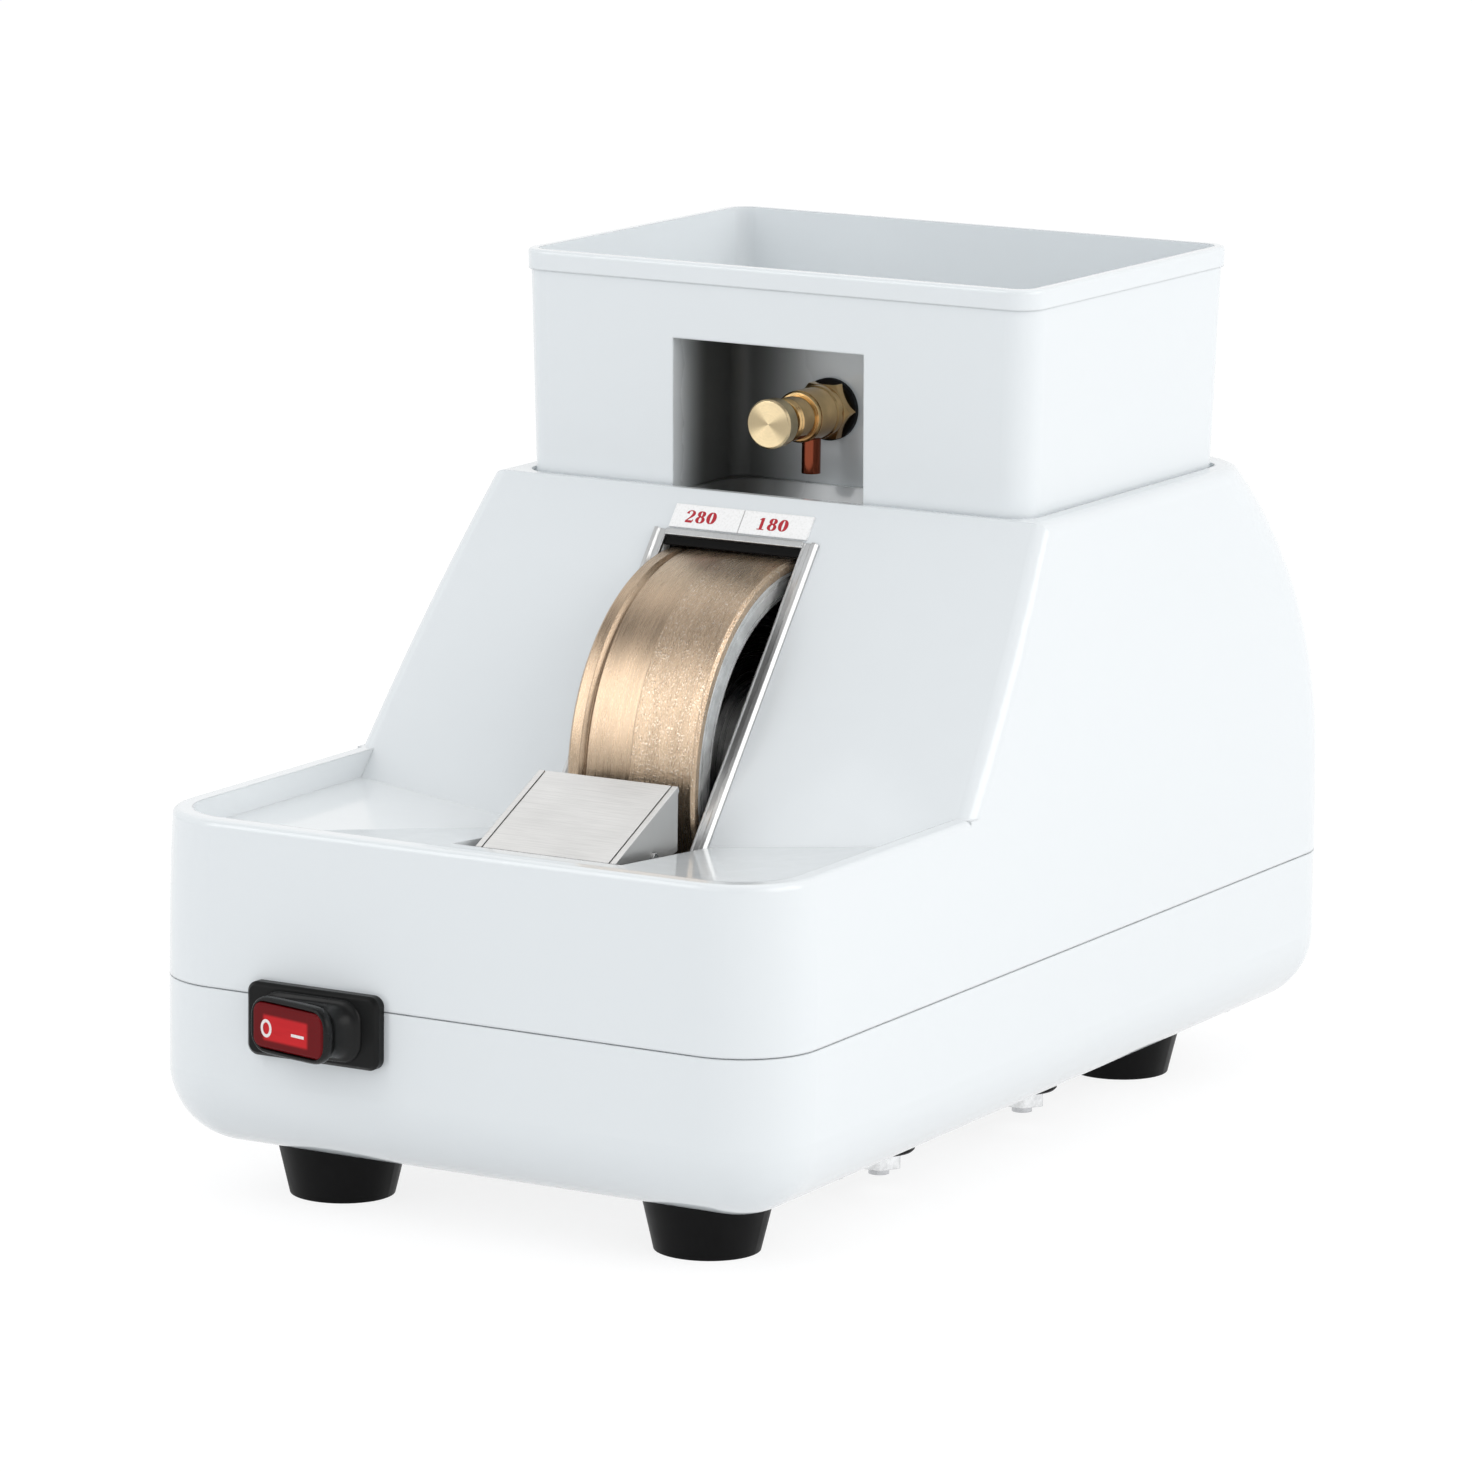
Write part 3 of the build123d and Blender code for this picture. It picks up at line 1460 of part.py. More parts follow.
def make_cord_gland():
    """A moulded bushing with a tapered nose outside and a nut-like collar inside."""
    wall_out = back_reach
    wall_in = back_reach - wall
    nose_tip = wall_out + gland_flange_length + gland_nose_length
    tip_radius = (gland_bore_radius + gland_body_radius) / 2
    points = [
        (gland_bore_radius, wall_in - gland_tail_length),
        (gland_bore_radius, nose_tip),
        (tip_radius, nose_tip),
        (gland_body_radius, wall_out + gland_flange_length),
        (gland_flange_radius, wall_out + gland_flange_length),
        (gland_flange_radius, wall_out),
        (gland_body_radius, wall_out),
        (gland_body_radius, wall_in),
        (gland_flange_radius, wall_in),
        (gland_flange_radius, wall_in - gland_tail_length),
    ]
    return along_y(gland_x, 0, gland_z) * turned(points)


makers = {
    "upper_casing": make_upper_casing,
    "lower_casing": make_lower_casing,
    "water_tank": make_water_tank,
    "tap_body": make_tap_body,
    "tap_knob": make_tap_knob,
    "tap_spout": make_tap_spout,
    "tap_gasket": make_tap_gasket,
    "tap_washer": make_tap_washer,
    "tap_backnut": make_tap_backnut,
    "slot_frame": make_slot_frame,
    "splash_lip": make_splash_lip,
    "fine_plate": make_fine_plate,
    "coarse_plate": make_coarse_plate,
    "fine_band": make_fine_band,
    "coarse_band": make_coarse_band,
    "wheel_hub": make_wheel_hub,
    "wheel_washer": make_wheel_washer,
    "wheel_nut": make_wheel_nut,
    "motor_shaft": make_motor_shaft,
    "motor_rotor": make_motor_rotor,
    "motor_drum": make_motor_drum,
    "motor_front_cover": make_motor_front_cover,
    "motor_rear_cover": make_motor_rear_cover,
    "front_bearing": make_front_bearing,
    "rear_bearing": make_rear_bearing,
    "motor_cradle": make_motor_cradle,
    "motor_straps": make_motor_straps,
    "strap_screws": make_strap_screws,
    "mount_bolts": make_mount_bolts,
    "mount_washers": make_mount_washers,
    "mount_nuts": make_mount_nuts,
    "run_capacitor": make_run_capacitor,
    "capacitor_clip": make_capacitor_clip,
    "terminal_block": make_terminal_block,
    "splash_well": make_splash_well,
    "shaft_seal": make_shaft_seal,
    "drain_pipe": make_drain_pipe,
    "lens_rest": make_lens_rest,
    "rest_pin": make_rest_pin,
    "switch_bezel": make_switch_bezel,
    "switch_boot": make_switch_boot,
    "rocker_cap": make_rocker_cap,
    "rocker_lens": make_rocker_lens,
    "switch_body": make_switch_body,
    "switch_terminals": make_switch_terminals,
    "rubber_feet": make_rubber_feet,
    "foot_screws": make_foot_screws,
    "casing_screws": make_casing_screws,
    "cord_gland": make_cord_gland,
}


def footprint_shift(shapes):
    """The move that puts the whole part's footprint on the origin."""
    boxes = [shape.bounding_box() for shape in shapes]
    low_x = min(box.min.X for box in boxes)
    high_x = max(box.max.X for box in boxes)
    low_y = min(box.min.Y for box in boxes)
    high_y = max(box.max.Y for box in boxes)
    return Pos(-(low_x + high_x) / 2, -(low_y + high_y) / 2, 0)


def gather(made):
    if isinstance(made, list):
        return Compound(children=[Part() + solid for solid in made])
    return made


shapes = {name: gather(maker()) for name, maker in makers.items()}
shift = footprint_shift(shapes.values())
for name, shape in shapes.items():
    export_step(shift * shape, f"parts/{name}.step")
print("moved onto the footprint's centre by", shift.position)
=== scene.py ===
"""A hand lens edger: looks, light and camera for its packed model."""

import json
import math

import bpy
from bpy.props import FloatProperty, FloatVectorProperty, PointerProperty, StringProperty
from mathutils import Matrix, Vector


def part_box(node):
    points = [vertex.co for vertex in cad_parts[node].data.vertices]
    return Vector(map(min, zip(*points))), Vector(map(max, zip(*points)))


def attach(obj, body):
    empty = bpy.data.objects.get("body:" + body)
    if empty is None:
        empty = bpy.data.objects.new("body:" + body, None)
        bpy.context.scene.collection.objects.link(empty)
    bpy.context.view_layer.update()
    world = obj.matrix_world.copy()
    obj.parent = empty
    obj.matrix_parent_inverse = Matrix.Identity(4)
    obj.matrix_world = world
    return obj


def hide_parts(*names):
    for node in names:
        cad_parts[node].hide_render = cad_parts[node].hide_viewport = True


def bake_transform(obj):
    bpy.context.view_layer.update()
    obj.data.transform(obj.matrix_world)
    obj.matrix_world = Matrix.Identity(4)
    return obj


bl_info = {
    "name": "Hand lens edger",
    "version": (1, 0, 0),
    "blender": (4, 5, 0),
    "location": "3D View > Sidebar > Edger",
    "description": "Finishes, printed numbers, switch boot, grommets and studio for the hand lens edger",
    "category": "Object",
}

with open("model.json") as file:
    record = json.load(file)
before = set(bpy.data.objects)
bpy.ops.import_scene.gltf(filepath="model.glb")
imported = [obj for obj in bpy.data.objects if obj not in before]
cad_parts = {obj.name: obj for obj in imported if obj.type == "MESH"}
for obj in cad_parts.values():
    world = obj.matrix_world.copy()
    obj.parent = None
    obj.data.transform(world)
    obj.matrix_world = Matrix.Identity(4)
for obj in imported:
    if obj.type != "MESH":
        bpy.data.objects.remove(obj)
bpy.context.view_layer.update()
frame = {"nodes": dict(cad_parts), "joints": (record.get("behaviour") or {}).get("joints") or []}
JOINTS = {joint["name"]: joint for joint in frame["joints"]}
WHEEL_CENTRE = Vector(JOINTS["wheel_spin"]["pos_m"])
ROCKER_PIVOT = Vector(JOINTS["rocker_tilt"]["pos_m"])
TAP_AXIS = Vector(JOINTS["knob_turn"]["pos_m"])
REST_PIN = Vector(JOINTS["rest_tilt"]["pos_m"])


# Shader maths
class Socket:
    """An output socket whose sums, products and comparisons add Math nodes."""

    def __init__(self, finish, output):
        self.finish = finish
        self.output = output

    def math(self, operation, *others):
        """A Math node with this socket first."""
        return self.finish.reckon(operation, self, *others)

    def __add__(self, other):
        return self.math("ADD", other)

    def __mul__(self, other):
        return self.math("MULTIPLY", other)

    def __sub__(self, other):
        return self.math("SUBTRACT", other)

    def __truediv__(self, other):
        return self.math("DIVIDE", other)

    def __pow__(self, other):
        return self.math("POWER", other)

    def __gt__(self, other):
        return self.math("GREATER_THAN", other)

    def __lt__(self, other):
        return self.math("LESS_THAN", other)

    def __abs__(self):
        return self.math("ABSOLUTE")

    __radd__ = __add__
    __rmul__ = __mul__

    def __rsub__(self, other):
        return self.finish.reckon("SUBTRACT", other, self)

    def __rtruediv__(self, other):
        return self.finish.reckon("DIVIDE", other, self)

    def __rpow__(self, other):
        return self.finish.reckon("POWER", other, self)

    def ramp(self, low, high, from_value=0.0, to_value=1.0):
        """A smooth step between two values of this socket."""
        return self.finish.add(
            "ShaderNodeMapRange", {"interpolation_type": "SMOOTHSTEP"},
            {"Value": self, "From Min": low, "From Max": high, "To Min": from_value, "To Max": to_value})


class Finish:
    """A material and the nodes that make it."""

    def __init__(self, name):
        self.material = bpy.data.materials.new(name)
        self.start(self.material, "ShaderNodeOutputMaterial")

    def start(self, owner, output):
        """Leaves nothing but an output in the owner's nodes."""
        owner.use_nodes = True
        self.tree = owner.node_tree
        self.tree.nodes.clear()
        self.out = self.tree.nodes.new(output)

    def add(self, kind, settings=None, inputs=None, output=0):
        """One node: its settings first, then the values or links of its sockets."""
        node = self.tree.nodes.new(kind)
        for key, value in (settings or {}).items():
            setattr(node, key, value)
        for key, value in (inputs or {}).items():
            self.put(node.inputs[key], value)
        return Socket(self, node.outputs[output])

    def put(self, socket, value):
        """Links an input or sets its value. Colours get their alpha here."""
        if isinstance(value, Socket):
            self.tree.links.new(value.output, socket)
        elif socket.type == "RGBA":
            socket.default_value = (*value, 1.0)
        else:
            socket.default_value = value

    def reckon(self, operation, *values):
        """One Math node on sockets and numbers."""
        return self.add("ShaderNodeMath", {"operation": operation}, dict(enumerate(values)))

    def place(self):
        """Points of the piece in metres, in its own frame."""
        return self.add("ShaderNodeTexCoord", output="Object")

    def shifted(self, centre, turn=(0.0, 0.0, 0.0)):
        """Points of the piece measured from a centre, after a turn."""
        return self.add("ShaderNodeMapping", {"vector_type": "TEXTURE"},
                        {"Vector": self.place(), "Location": tuple(centre), "Rotation": turn})

    def stretched(self, scale):
        """Points of the piece with a scale of its own along each axis."""
        return self.add("ShaderNodeMapping", {"vector_type": "POINT"},
                        {"Vector": self.place(), "Scale": scale})

    def split(self, vector):
        """The three parts of a vector."""
        parts = self.add("ShaderNodeSeparateXYZ", {}, {"Vector": vector}).output.node.outputs
        return [Socket(self, part) for part in parts]

    def join(self, *parts):
        """A vector made of three parts."""
        return self.add("ShaderNodeCombineXYZ", {}, dict(enumerate(parts)))

    def noise(self, vector, scale, detail=3.0, roughness=0.5):
        return self.add("ShaderNodeTexNoise", {"noise_dimensions": "3D"},
                        {"Vector": vector, "Scale": scale, "Detail": detail, "Roughness": roughness})

    def blend(self, amount, first, second):
        """A colour between two colours, which are inputs 6 and 7 of a Mix node."""
        return self.add("ShaderNodeMix", {"data_type": "RGBA"}, {0: amount, 6: first, 7: second}, output=2)

    def bump(self, height, strength, distance, normal):
        return self.add("ShaderNodeBump", {},
                        {"Height": height, "Strength": strength, "Distance": distance, "Normal": normal})

    def edges(self, radius):
        """Rounds sharp edges in the shading."""
        return self.add("ShaderNodeBevel", {"samples": 4}, {"Radius": radius})

    def rays(self):
        """Tests for rays that show a surface to the camera, in a reflection and through glass."""
        tests = self.add("ShaderNodeLightPath").output.node.outputs
        names = ("Is Camera Ray", "Is Glossy Ray", "Is Transmission Ray")
        return [Socket(self, tests[name]) for name in names]

    def close(self, shader):
        """Links the last shader to the output."""
        self.tree.links.new(shader.output, self.out.inputs["Surface"])

    def surface(self, **inputs):
        """The surface shader, straight to the output."""
        named = {key.replace("_", " ").title().replace("Ior", "IOR"): value for key, value in inputs.items()}
        self.close(self.add("ShaderNodeBsdfPrincipled", {}, named))
        return self.material


class Room(Finish):
    """The world and the nodes that make it."""

    def __init__(self, name):
        self.world = bpy.data.worlds.new(name)
        self.start(self.world, "ShaderNodeOutputWorld")


def shaded(base, factor):
    """A colour times one factor, or times a factor for each of red, green and blue."""
    factors = factor if isinstance(factor, tuple) else (factor,) * 3
    return tuple(value * part for value, part in zip(base, factors))


def give(material, *nodes):
    """Puts one material on whole CAD nodes."""
    for name in nodes:
        mesh = frame["nodes"][name].data
        mesh.materials.clear()
        mesh.materials.append(material)
        for polygon in mesh.polygons:
            polygon.material_index = 0


# Meshes
def mesh_piece(name, vertices, faces, material, smooth=True):
    """A new piece of one material, in the scene."""
    mesh = bpy.data.meshes.new(name)
    mesh.from_pydata([tuple(vertex) for vertex in vertices], [], faces)
    mesh.validate()
    piece = bpy.data.objects.new(name, mesh)
    bpy.context.scene.collection.objects.link(piece)
    mesh.materials.append(material)
    for polygon in mesh.polygons:
        polygon.use_smooth = smooth
    return piece


def round_ring(radius, steps=48):
    """A circle as (across, up) points, anticlockwise."""
    turns = [step * math.pi / (steps / 2) for step in range(steps)]
    return [(radius * math.cos(turn), radius * math.sin(turn)) for turn in turns]


def rounded_ring(width, height, corner, steps=6):
    """A round-cornered outline as (across, up) points, anticlockwise."""
    points = []
    for quarter, (sx, sy) in enumerate(((1, 1), (-1, 1), (-1, -1), (1, -1))):
        centre = Vector((sx * (width / 2 - corner), sy * (height / 2 - corner)))
        for step in range(steps + 1):
            turn = math.pi / 2 * (quarter + step / steps)
            points.append(centre + corner * Vector((math.cos(turn), math.sin(turn))))
    return points


def skin(rings):
    """Vertices and faces that join rings of equal length."""
    count = len(rings[0])
    vertices = [point for ring in rings for point in ring]
    faces = []
    for row in range(len(rings) - 1):
        low = row * count
        high = low + count
        for index in range(count):
            follow = (index + 1) % count
            faces.append((low + index, low + follow, high + follow, high + index))
    return vertices, faces


def solid_boxes(node):
    """The corners of each separate solid of a CAD node, whose vertices are doubled along sharp edges."""
    mesh = frame["nodes"][node].data
    group = list(range(len(mesh.vertices)))

    def root(index):
        while group[index] != index:
            group[index] = group[group[index]]
            index = group[index]
        return index

    for edge in mesh.edges:
        group[root(edge.vertices[0])] = root(edge.vertices[1])
    # Vertices at one place, to a micrometre, belong together
    shared = {}
    for vertex in mesh.vertices:
        twin = shared.setdefault(tuple(round(value, 6) for value in vertex.co), vertex.index)
        group[root(vertex.index)] = root(twin)
    solids = {}
    for vertex in mesh.vertices:
        solids.setdefault(root(vertex.index), []).append(vertex.co)
    boxes = []
    for points in solids.values():
        low = Vector(min(point[axis] for point in points) for axis in range(3))
        high = Vector(max(point[axis] for point in points) for axis in range(3))
        boxes.append((low, high))
    return boxes


# Figures drawn with a broad pen, as (across, up, pen width) in shares of their height
def oval(across, up, wide, high, thin, thick):
    """A closed stroke that is thick at its sides."""
    turns = [math.pi / 16 * step for step in range(33)]
    return [(across + wide * math.cos(turn), up + high * math.sin(turn), thin + thick * abs(math.cos(turn)))
            for turn in turns]


def curved(*points, steps=5):
    """A smooth stroke through a few points."""
    last = len(points) - 1
    path = []
    for index in range(last):
        a, b, c, d = [Vector(points[min(max(index + shift, 0), last)]) for shift in (-1, 0, 1, 2)]
        for step in range(steps):
            t = step / steps
            square = (a * 2 - b * 5 + c * 4 - d) * t * t
            cube = (b * 3 - a - c * 3 + d) * t ** 3
            path.append((b * 2 + (c - a) * t + square + cube) / 2)
    return [tuple(point) for point in path] + [points[-1]]


FIGURE_WIDTH = 0.62
BOWL = ((0.52, 0.27, 0.19), (0.43, 0.09, 0.10), (0.28, 0.04, 0.06), (0.10, 0.13, 0.13))
SIX = (oval(0.31, 0.28, 0.19, 0.245, 0.05, 0.13),
       curved((0.50, 0.95, 0.05), (0.28, 0.82, 0.09), (0.14, 0.58, 0.16), (0.12, 0.28, 0.18)))
FIGURES = {
    "0": (oval(0.31, 0.5, 0.2, 0.44, 0.05, 0.16),),
    "1": (((0.31, 0.04, 0.17), (0.31, 0.96, 0.17)),
          ((0.12, 0.80, 0.07), (0.31, 0.93, 0.07)),
          ((0.08, 0.03, 0.06), (0.54, 0.03, 0.06))),
    "2": (curved((0.10, 0.70, 0.16), (0.14, 0.86, 0.10), (0.31, 0.965, 0.06), (0.47, 0.87, 0.13),
                 (0.50, 0.72, 0.18), (0.44, 0.55, 0.15), (0.30, 0.36, 0.09), (0.12, 0.15, 0.06)),
          ((0.07, 0.08, 0.16), (0.53, 0.08, 0.16)),
          ((0.53, 0.08, 0.05), (0.56, 0.26, 0.05))),
    "3": (curved((0.11, 0.80, 0.14), (0.30, 0.965, 0.06), (0.47, 0.76, 0.17), (0.28, 0.54, 0.06)),
          curved((0.28, 0.54, 0.06), *BOWL)),
    "4": (((0.41, 0.04, 0.17), (0.41, 0.96, 0.17)),
          ((0.40, 0.94, 0.06), (0.05, 0.30, 0.06)),
          ((0.04, 0.29, 0.10), (0.58, 0.29, 0.10))),
    "5": (((0.15, 0.91, 0.14), (0.52, 0.91, 0.14)),
          ((0.15, 0.94, 0.06), (0.13, 0.55, 0.06)),
          curved((0.13, 0.55, 0.06), (0.32, 0.60, 0.06), *BOWL)),
    "6": SIX,
    "7": (((0.08, 0.90, 0.14), (0.55, 0.90, 0.14)),
          curved((0.54, 0.88, 0.06), (0.36, 0.52, 0.13), (0.27, 0.03, 0.18))),
    "8": (oval(0.31, 0.745, 0.16, 0.2, 0.05, 0.13), oval(0.31, 0.27, 0.2, 0.235, 0.05, 0.13)),
    "9": tuple([(FIGURE_WIDTH - across, 1.0 - up, width) for across, up, width in stroke] for stroke in SIX),
}


def pen_sides(stroke, weight):
    """The two sides of a stroke, as points (across, up)."""
    closed = math.dist(stroke[0][:2], stroke[-1][:2]) < 1e-6
    sides = []
    for index, (across, up, width) in enumerate(stroke):
        before = stroke[index - 1] if index else stroke[-2 if closed else 0]
        after = stroke[index + 1] if index + 1 < len(stroke) else stroke[1 if closed else -1]
        along = Vector((after[0] - before[0], after[1] - before[1])).normalized() * (width * weight / 2)
        sides.append((Vector((across - along.y, up + along.x)), Vector((across + along.y, up - along.x))))
    return sides


# Settings: a function for each kind, then the groups
def colour(name, description, default):
    return FloatVectorProperty(name=name, description=description, subtype="COLOR", size=3,
                               min=0.0, max=1.0, default=default)


def length(name, description, default):
    return FloatProperty(name=name, description=description, unit="LENGTH", subtype="DISTANCE",
                         default=default, precision=4)


def lengths(name, description, default):
    return FloatVectorProperty(name=name, description=description, unit="LENGTH", subtype="XYZ",
                               size=len(default), default=default)


def angle(name, description, degrees):
    return FloatProperty(name=name, description=description, subtype="ANGLE", default=math.radians(degrees))


def share(name, description, default):
    return FloatProperty(name=name, description=description, subtype="FACTOR",
                         min=0.0, max=1.0, default=default)


def level(name, description, default):
    return FloatProperty(name=name, description=description, default=default)


class StudioSettings(bpy.types.PropertyGroup):
    """Camera and light."""

    yaw: angle("Yaw", "Camera's turn to the right of the front", 29.27)
    pitch: angle("Pitch", "How far the camera looks down", 10.86)
    roll: angle("Roll", "Camera's turn about its own axis", 0.75)
    distance: length("Distance", "From the aim to the camera", 1.8816)
    lens: level("Lens", "Focal length in millimetres", 187.04)
    aim_right: length("Aim right", "Aim measured from the wheel's centre", -0.01099)
    aim_back: length("Aim back", "Aim measured from the wheel's centre", 0.02118)
    aim_up: length("Aim up", "Aim measured from the wheel's centre", 0.00023)
    key_power: level("Key power", "Power of the large lamp on the right", 16.0)
    key_tint: colour("Key tint", "Colour of the large lamp", (1.0, 0.975, 0.955))
    key_place: lengths("Key place", "Measured from the wheel's centre", (1.9, 0.1, 0.9))
    key_size: lengths("Key size", "Width and height of the large lamp", (1.8, 1.5))
    top_power: level("Top power", "Power of the lamp overhead", 2.0)
    top_place: lengths("Top place", "Measured from the wheel's centre", (-0.2, 0.25, 2.1))
    top_size: lengths("Top size", "Width and length of the lamp overhead", (1.7, 1.7))
    front_power: level("Front power", "Power of the tall lamp on the left", 3.5)
    front_place: lengths("Front place", "Measured from the wheel's centre", (-0.72, -1.04, 0.80))
    front_size: lengths("Front size", "Width and height of the tall lamp", (0.45, 1.25))
    world_level: level("World level", "Strength of the light all round", 0.85)
    floor_shadow: share("Floor shadow", "Share of the floor that takes shadow", 0.25)


class CasingSettings(bpy.types.PropertyGroup):
    """Moulded shells and tank."""

    white: colour("White", "Moulded plastic of the shells and the tank", (0.79, 0.825, 0.845))
    gloss: share("Roughness", "Lower is glossier", 0.13)
    edge: length("Edge", "Radius that softens sharp edges in the shading", 0.0007)
    niche_left: length("Niche left", "Left wall of the tap's niche", -0.0273)
    niche_right: length("Niche right", "Right wall of the tap's niche", 0.0254)
    niche_lintel: length("Niche lintel", "From the tank's rim down to the niche", 0.0188)
    # Strength of the painted shade on the niche's far walls
    niche_painted_shade: share("Niche dark", "How much darker the niche's far walls are", 0.93)


class WheelSettings(bpy.types.PropertyGroup):
    """Grinding bands and the wheel's core."""

    bronze: colour("Bronze", "Bond of the grinding bands", (0.62, 0.465, 0.325))
    sparkle: colour("Sparkle", "Grit that stands out of the bond", (0.95, 0.88, 0.79))
    fine_grit: length("Fine grit", "Size of a speckle on the fine band", 0.00018)
    coarse_grit: length("Coarse grit", "Size of a speckle on the coarse band", 0.00026)
    core: colour("Core", "Turned aluminium", (0.86, 0.86, 0.85))


class MetalSettings(bpy.types.PropertyGroup):
    """Steel, brass and copper."""

    sheet: colour("Sheet", "Brushed sheet of the lens rest", (0.84, 0.835, 0.82))
    trim: colour("Trim", "Bright frame round the wheel slot", (0.64, 0.65, 0.65))
    brass: colour("Brass", "Turned brass of the tap", (0.94, 0.76, 0.47))
    copper: colour("Copper", "Darkened copper of the spout", (0.24, 0.06, 0.03))


class FeetSettings(bpy.types.PropertyGroup):
    """Rubber feet and grommets under the casing."""

    black: colour("Black", "Rubber of the feet and the grommets", (0.003, 0.003, 0.0032))
    skirt: length("Skirt", "How far a grommet reaches down round its nut", 0.0014)
    cup: length("Cup", "Inner radius of the skirt", 0.0061)
    bolt: length("Bolt", "Radius of the hole for the bolt", 0.0027)
    soft: length("Soft", "Bevel of the skirt's edge", 0.0005)


class SwitchSettings(bpy.types.PropertyGroup):
    """Rubber boot and lit lens of the rocker switch."""

    red: colour("Red", "Moulded lens", (0.38, 0.006, 0.012))
    glow: colour("Glow", "Panel lit by the lamp behind the lens", (1.0, 0.05, 0.045))
    black: colour("Black", "Boot, bezel and body", (0.0045, 0.0048, 0.0048))
    tilt: angle("Tilt", "How far the rocker leans at rest", 13.0)
    face: length("Face", "From the pivot to the lens", 0.0094)
    width: length("Width", "Boot across its head", 0.0254)
    height: length("Height", "Boot up its head", 0.0138)
    foot_width: length("Foot width", "Boot across its foot", 0.0274)
    foot_height: length("Foot height", "Boot up its foot", 0.0150)
    mark: length("Mark", "Height of the ring on the lens", 0.0043)
    mark_line: length("Mark line", "Width of the ring's line", 0.00075)


class PrintSettings(bpy.types.PropertyGroup):
    """Numbers on the two plates over the wheel."""

    fine: StringProperty(name="Fine", description="Grit number of the fine band", default="280")
    coarse: StringProperty(name="Coarse", description="Grit number of the coarse band", default="180")
    ink: colour("Ink", "Ink of the numbers", (0.50, 0.004, 0.020))
    size: length("Size", "Height of the figures", 0.00345)
    pitch: length("Pitch", "From one figure to the next", 0.00295)
    fine_shift: length("Fine shift", "From the plate's middle to the number's", -0.0016)
    coarse_shift: length("Coarse shift", "From the plate's middle to the number's", -0.0009)
    width: level("Width", "Stretch of the figures", 1.2)
    weight: level("Weight", "Thickness of the strokes", 1.2)


# Finishes
def painted_niche_shade(finish, casing):
    """Painted shade inside the tap's niche: darker towards the back and the left."""
    side_share = 0.006
    front_share = 0.004
    back_share = 0.01
    lintel_margin = 0.0003
    low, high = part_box("water_tank")
    across, back, up = finish.split(finish.place())
    depth = (back - low.y) / (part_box("tap_gasket")[1].y - low.y)
    reach = (across - casing.niche_left) / (casing.niche_right - casing.niche_left)
    between = abs(reach - 0.5) < 0.5 + side_share
    within = (depth > front_share) * (depth < 1.0 + back_share)
    under = up < high.z - casing.niche_lintel + lintel_margin
    # Painted shade: strongest at the back and on the left of the niche
    fade = depth.ramp(-0.05, 0.55) * reach.ramp(0.08, 0.56, 1.0, 0.0)
    return between * within * under * fade * casing.niche_painted_shade


def painted_platform_shade(finish, casing):
    """The same painted shade on the platform under the niche."""
    above = 0.003
    below = 0.02
    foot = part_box("water_tank")[0].z
    height = finish.split(finish.place())[2]
    return painted_niche_shade(finish, casing) * (height < foot + above) * (height > foot - below)


def moulded_plastic(name, base, roughness, edge, shadow=None):
    """Glossy moulded plastic with a faint waviness and flow marks, and painted shade where a mask is given.
    """
    finish = Finish(name)
    flow = finish.noise(finish.place(), 9.0, detail=2.0)
    fine = finish.noise(finish.place(), 160.0, detail=2.0)
    grain = finish.noise(finish.place(), 2600.0, detail=2.0)
    shade = flow.ramp(0.3, 0.7) * 0.5 + grain.ramp(0.35, 0.65) * 0.12
    tone = finish.blend(shade, shaded(base, 0.985), base)
    gloss = fine.ramp(0.3, 0.7, roughness * 0.85, roughness * 1.25)
    coat = 0.35
    # Painted shade: the colour goes towards dark olive, with rougher gloss and less coat there
    if shadow:
        dark = shadow(finish)
        tone = finish.blend(dark, tone, (0.030, 0.031, 0.027))
        gloss = gloss + dark * 0.4
        coat = coat - dark * coat
    wavy = finish.bump(fine * 0.8 + flow * 3.0, 0.06, 0.0004, finish.edges(edge))
    return finish.surface(base_color=tone, roughness=gloss, normal=wavy,
                          specular_ior_level=0.5, coat_weight=coat, coat_roughness=0.05)


def rubber(name, base, roughness=0.5, specular=0.1):
    """Black rubber with the fine texture of its mould."""
    finish = Finish(name)
    grain = finish.noise(finish.place(), 3400.0, roughness=0.6)
    patches = finish.noise(finish.place(), 70.0)
    tone = finish.blend(patches.ramp(0.3, 0.75), base, tuple(value * 1.6 + 0.001 for value in base))
    return finish.surface(base_color=tone, specular_ior_level=specular,
                          roughness=patches.ramp(0.3, 0.7, roughness * 0.85, roughness * 1.2),
                          normal=finish.bump(grain, 0.35, 0.00006, finish.edges(0.0005)))


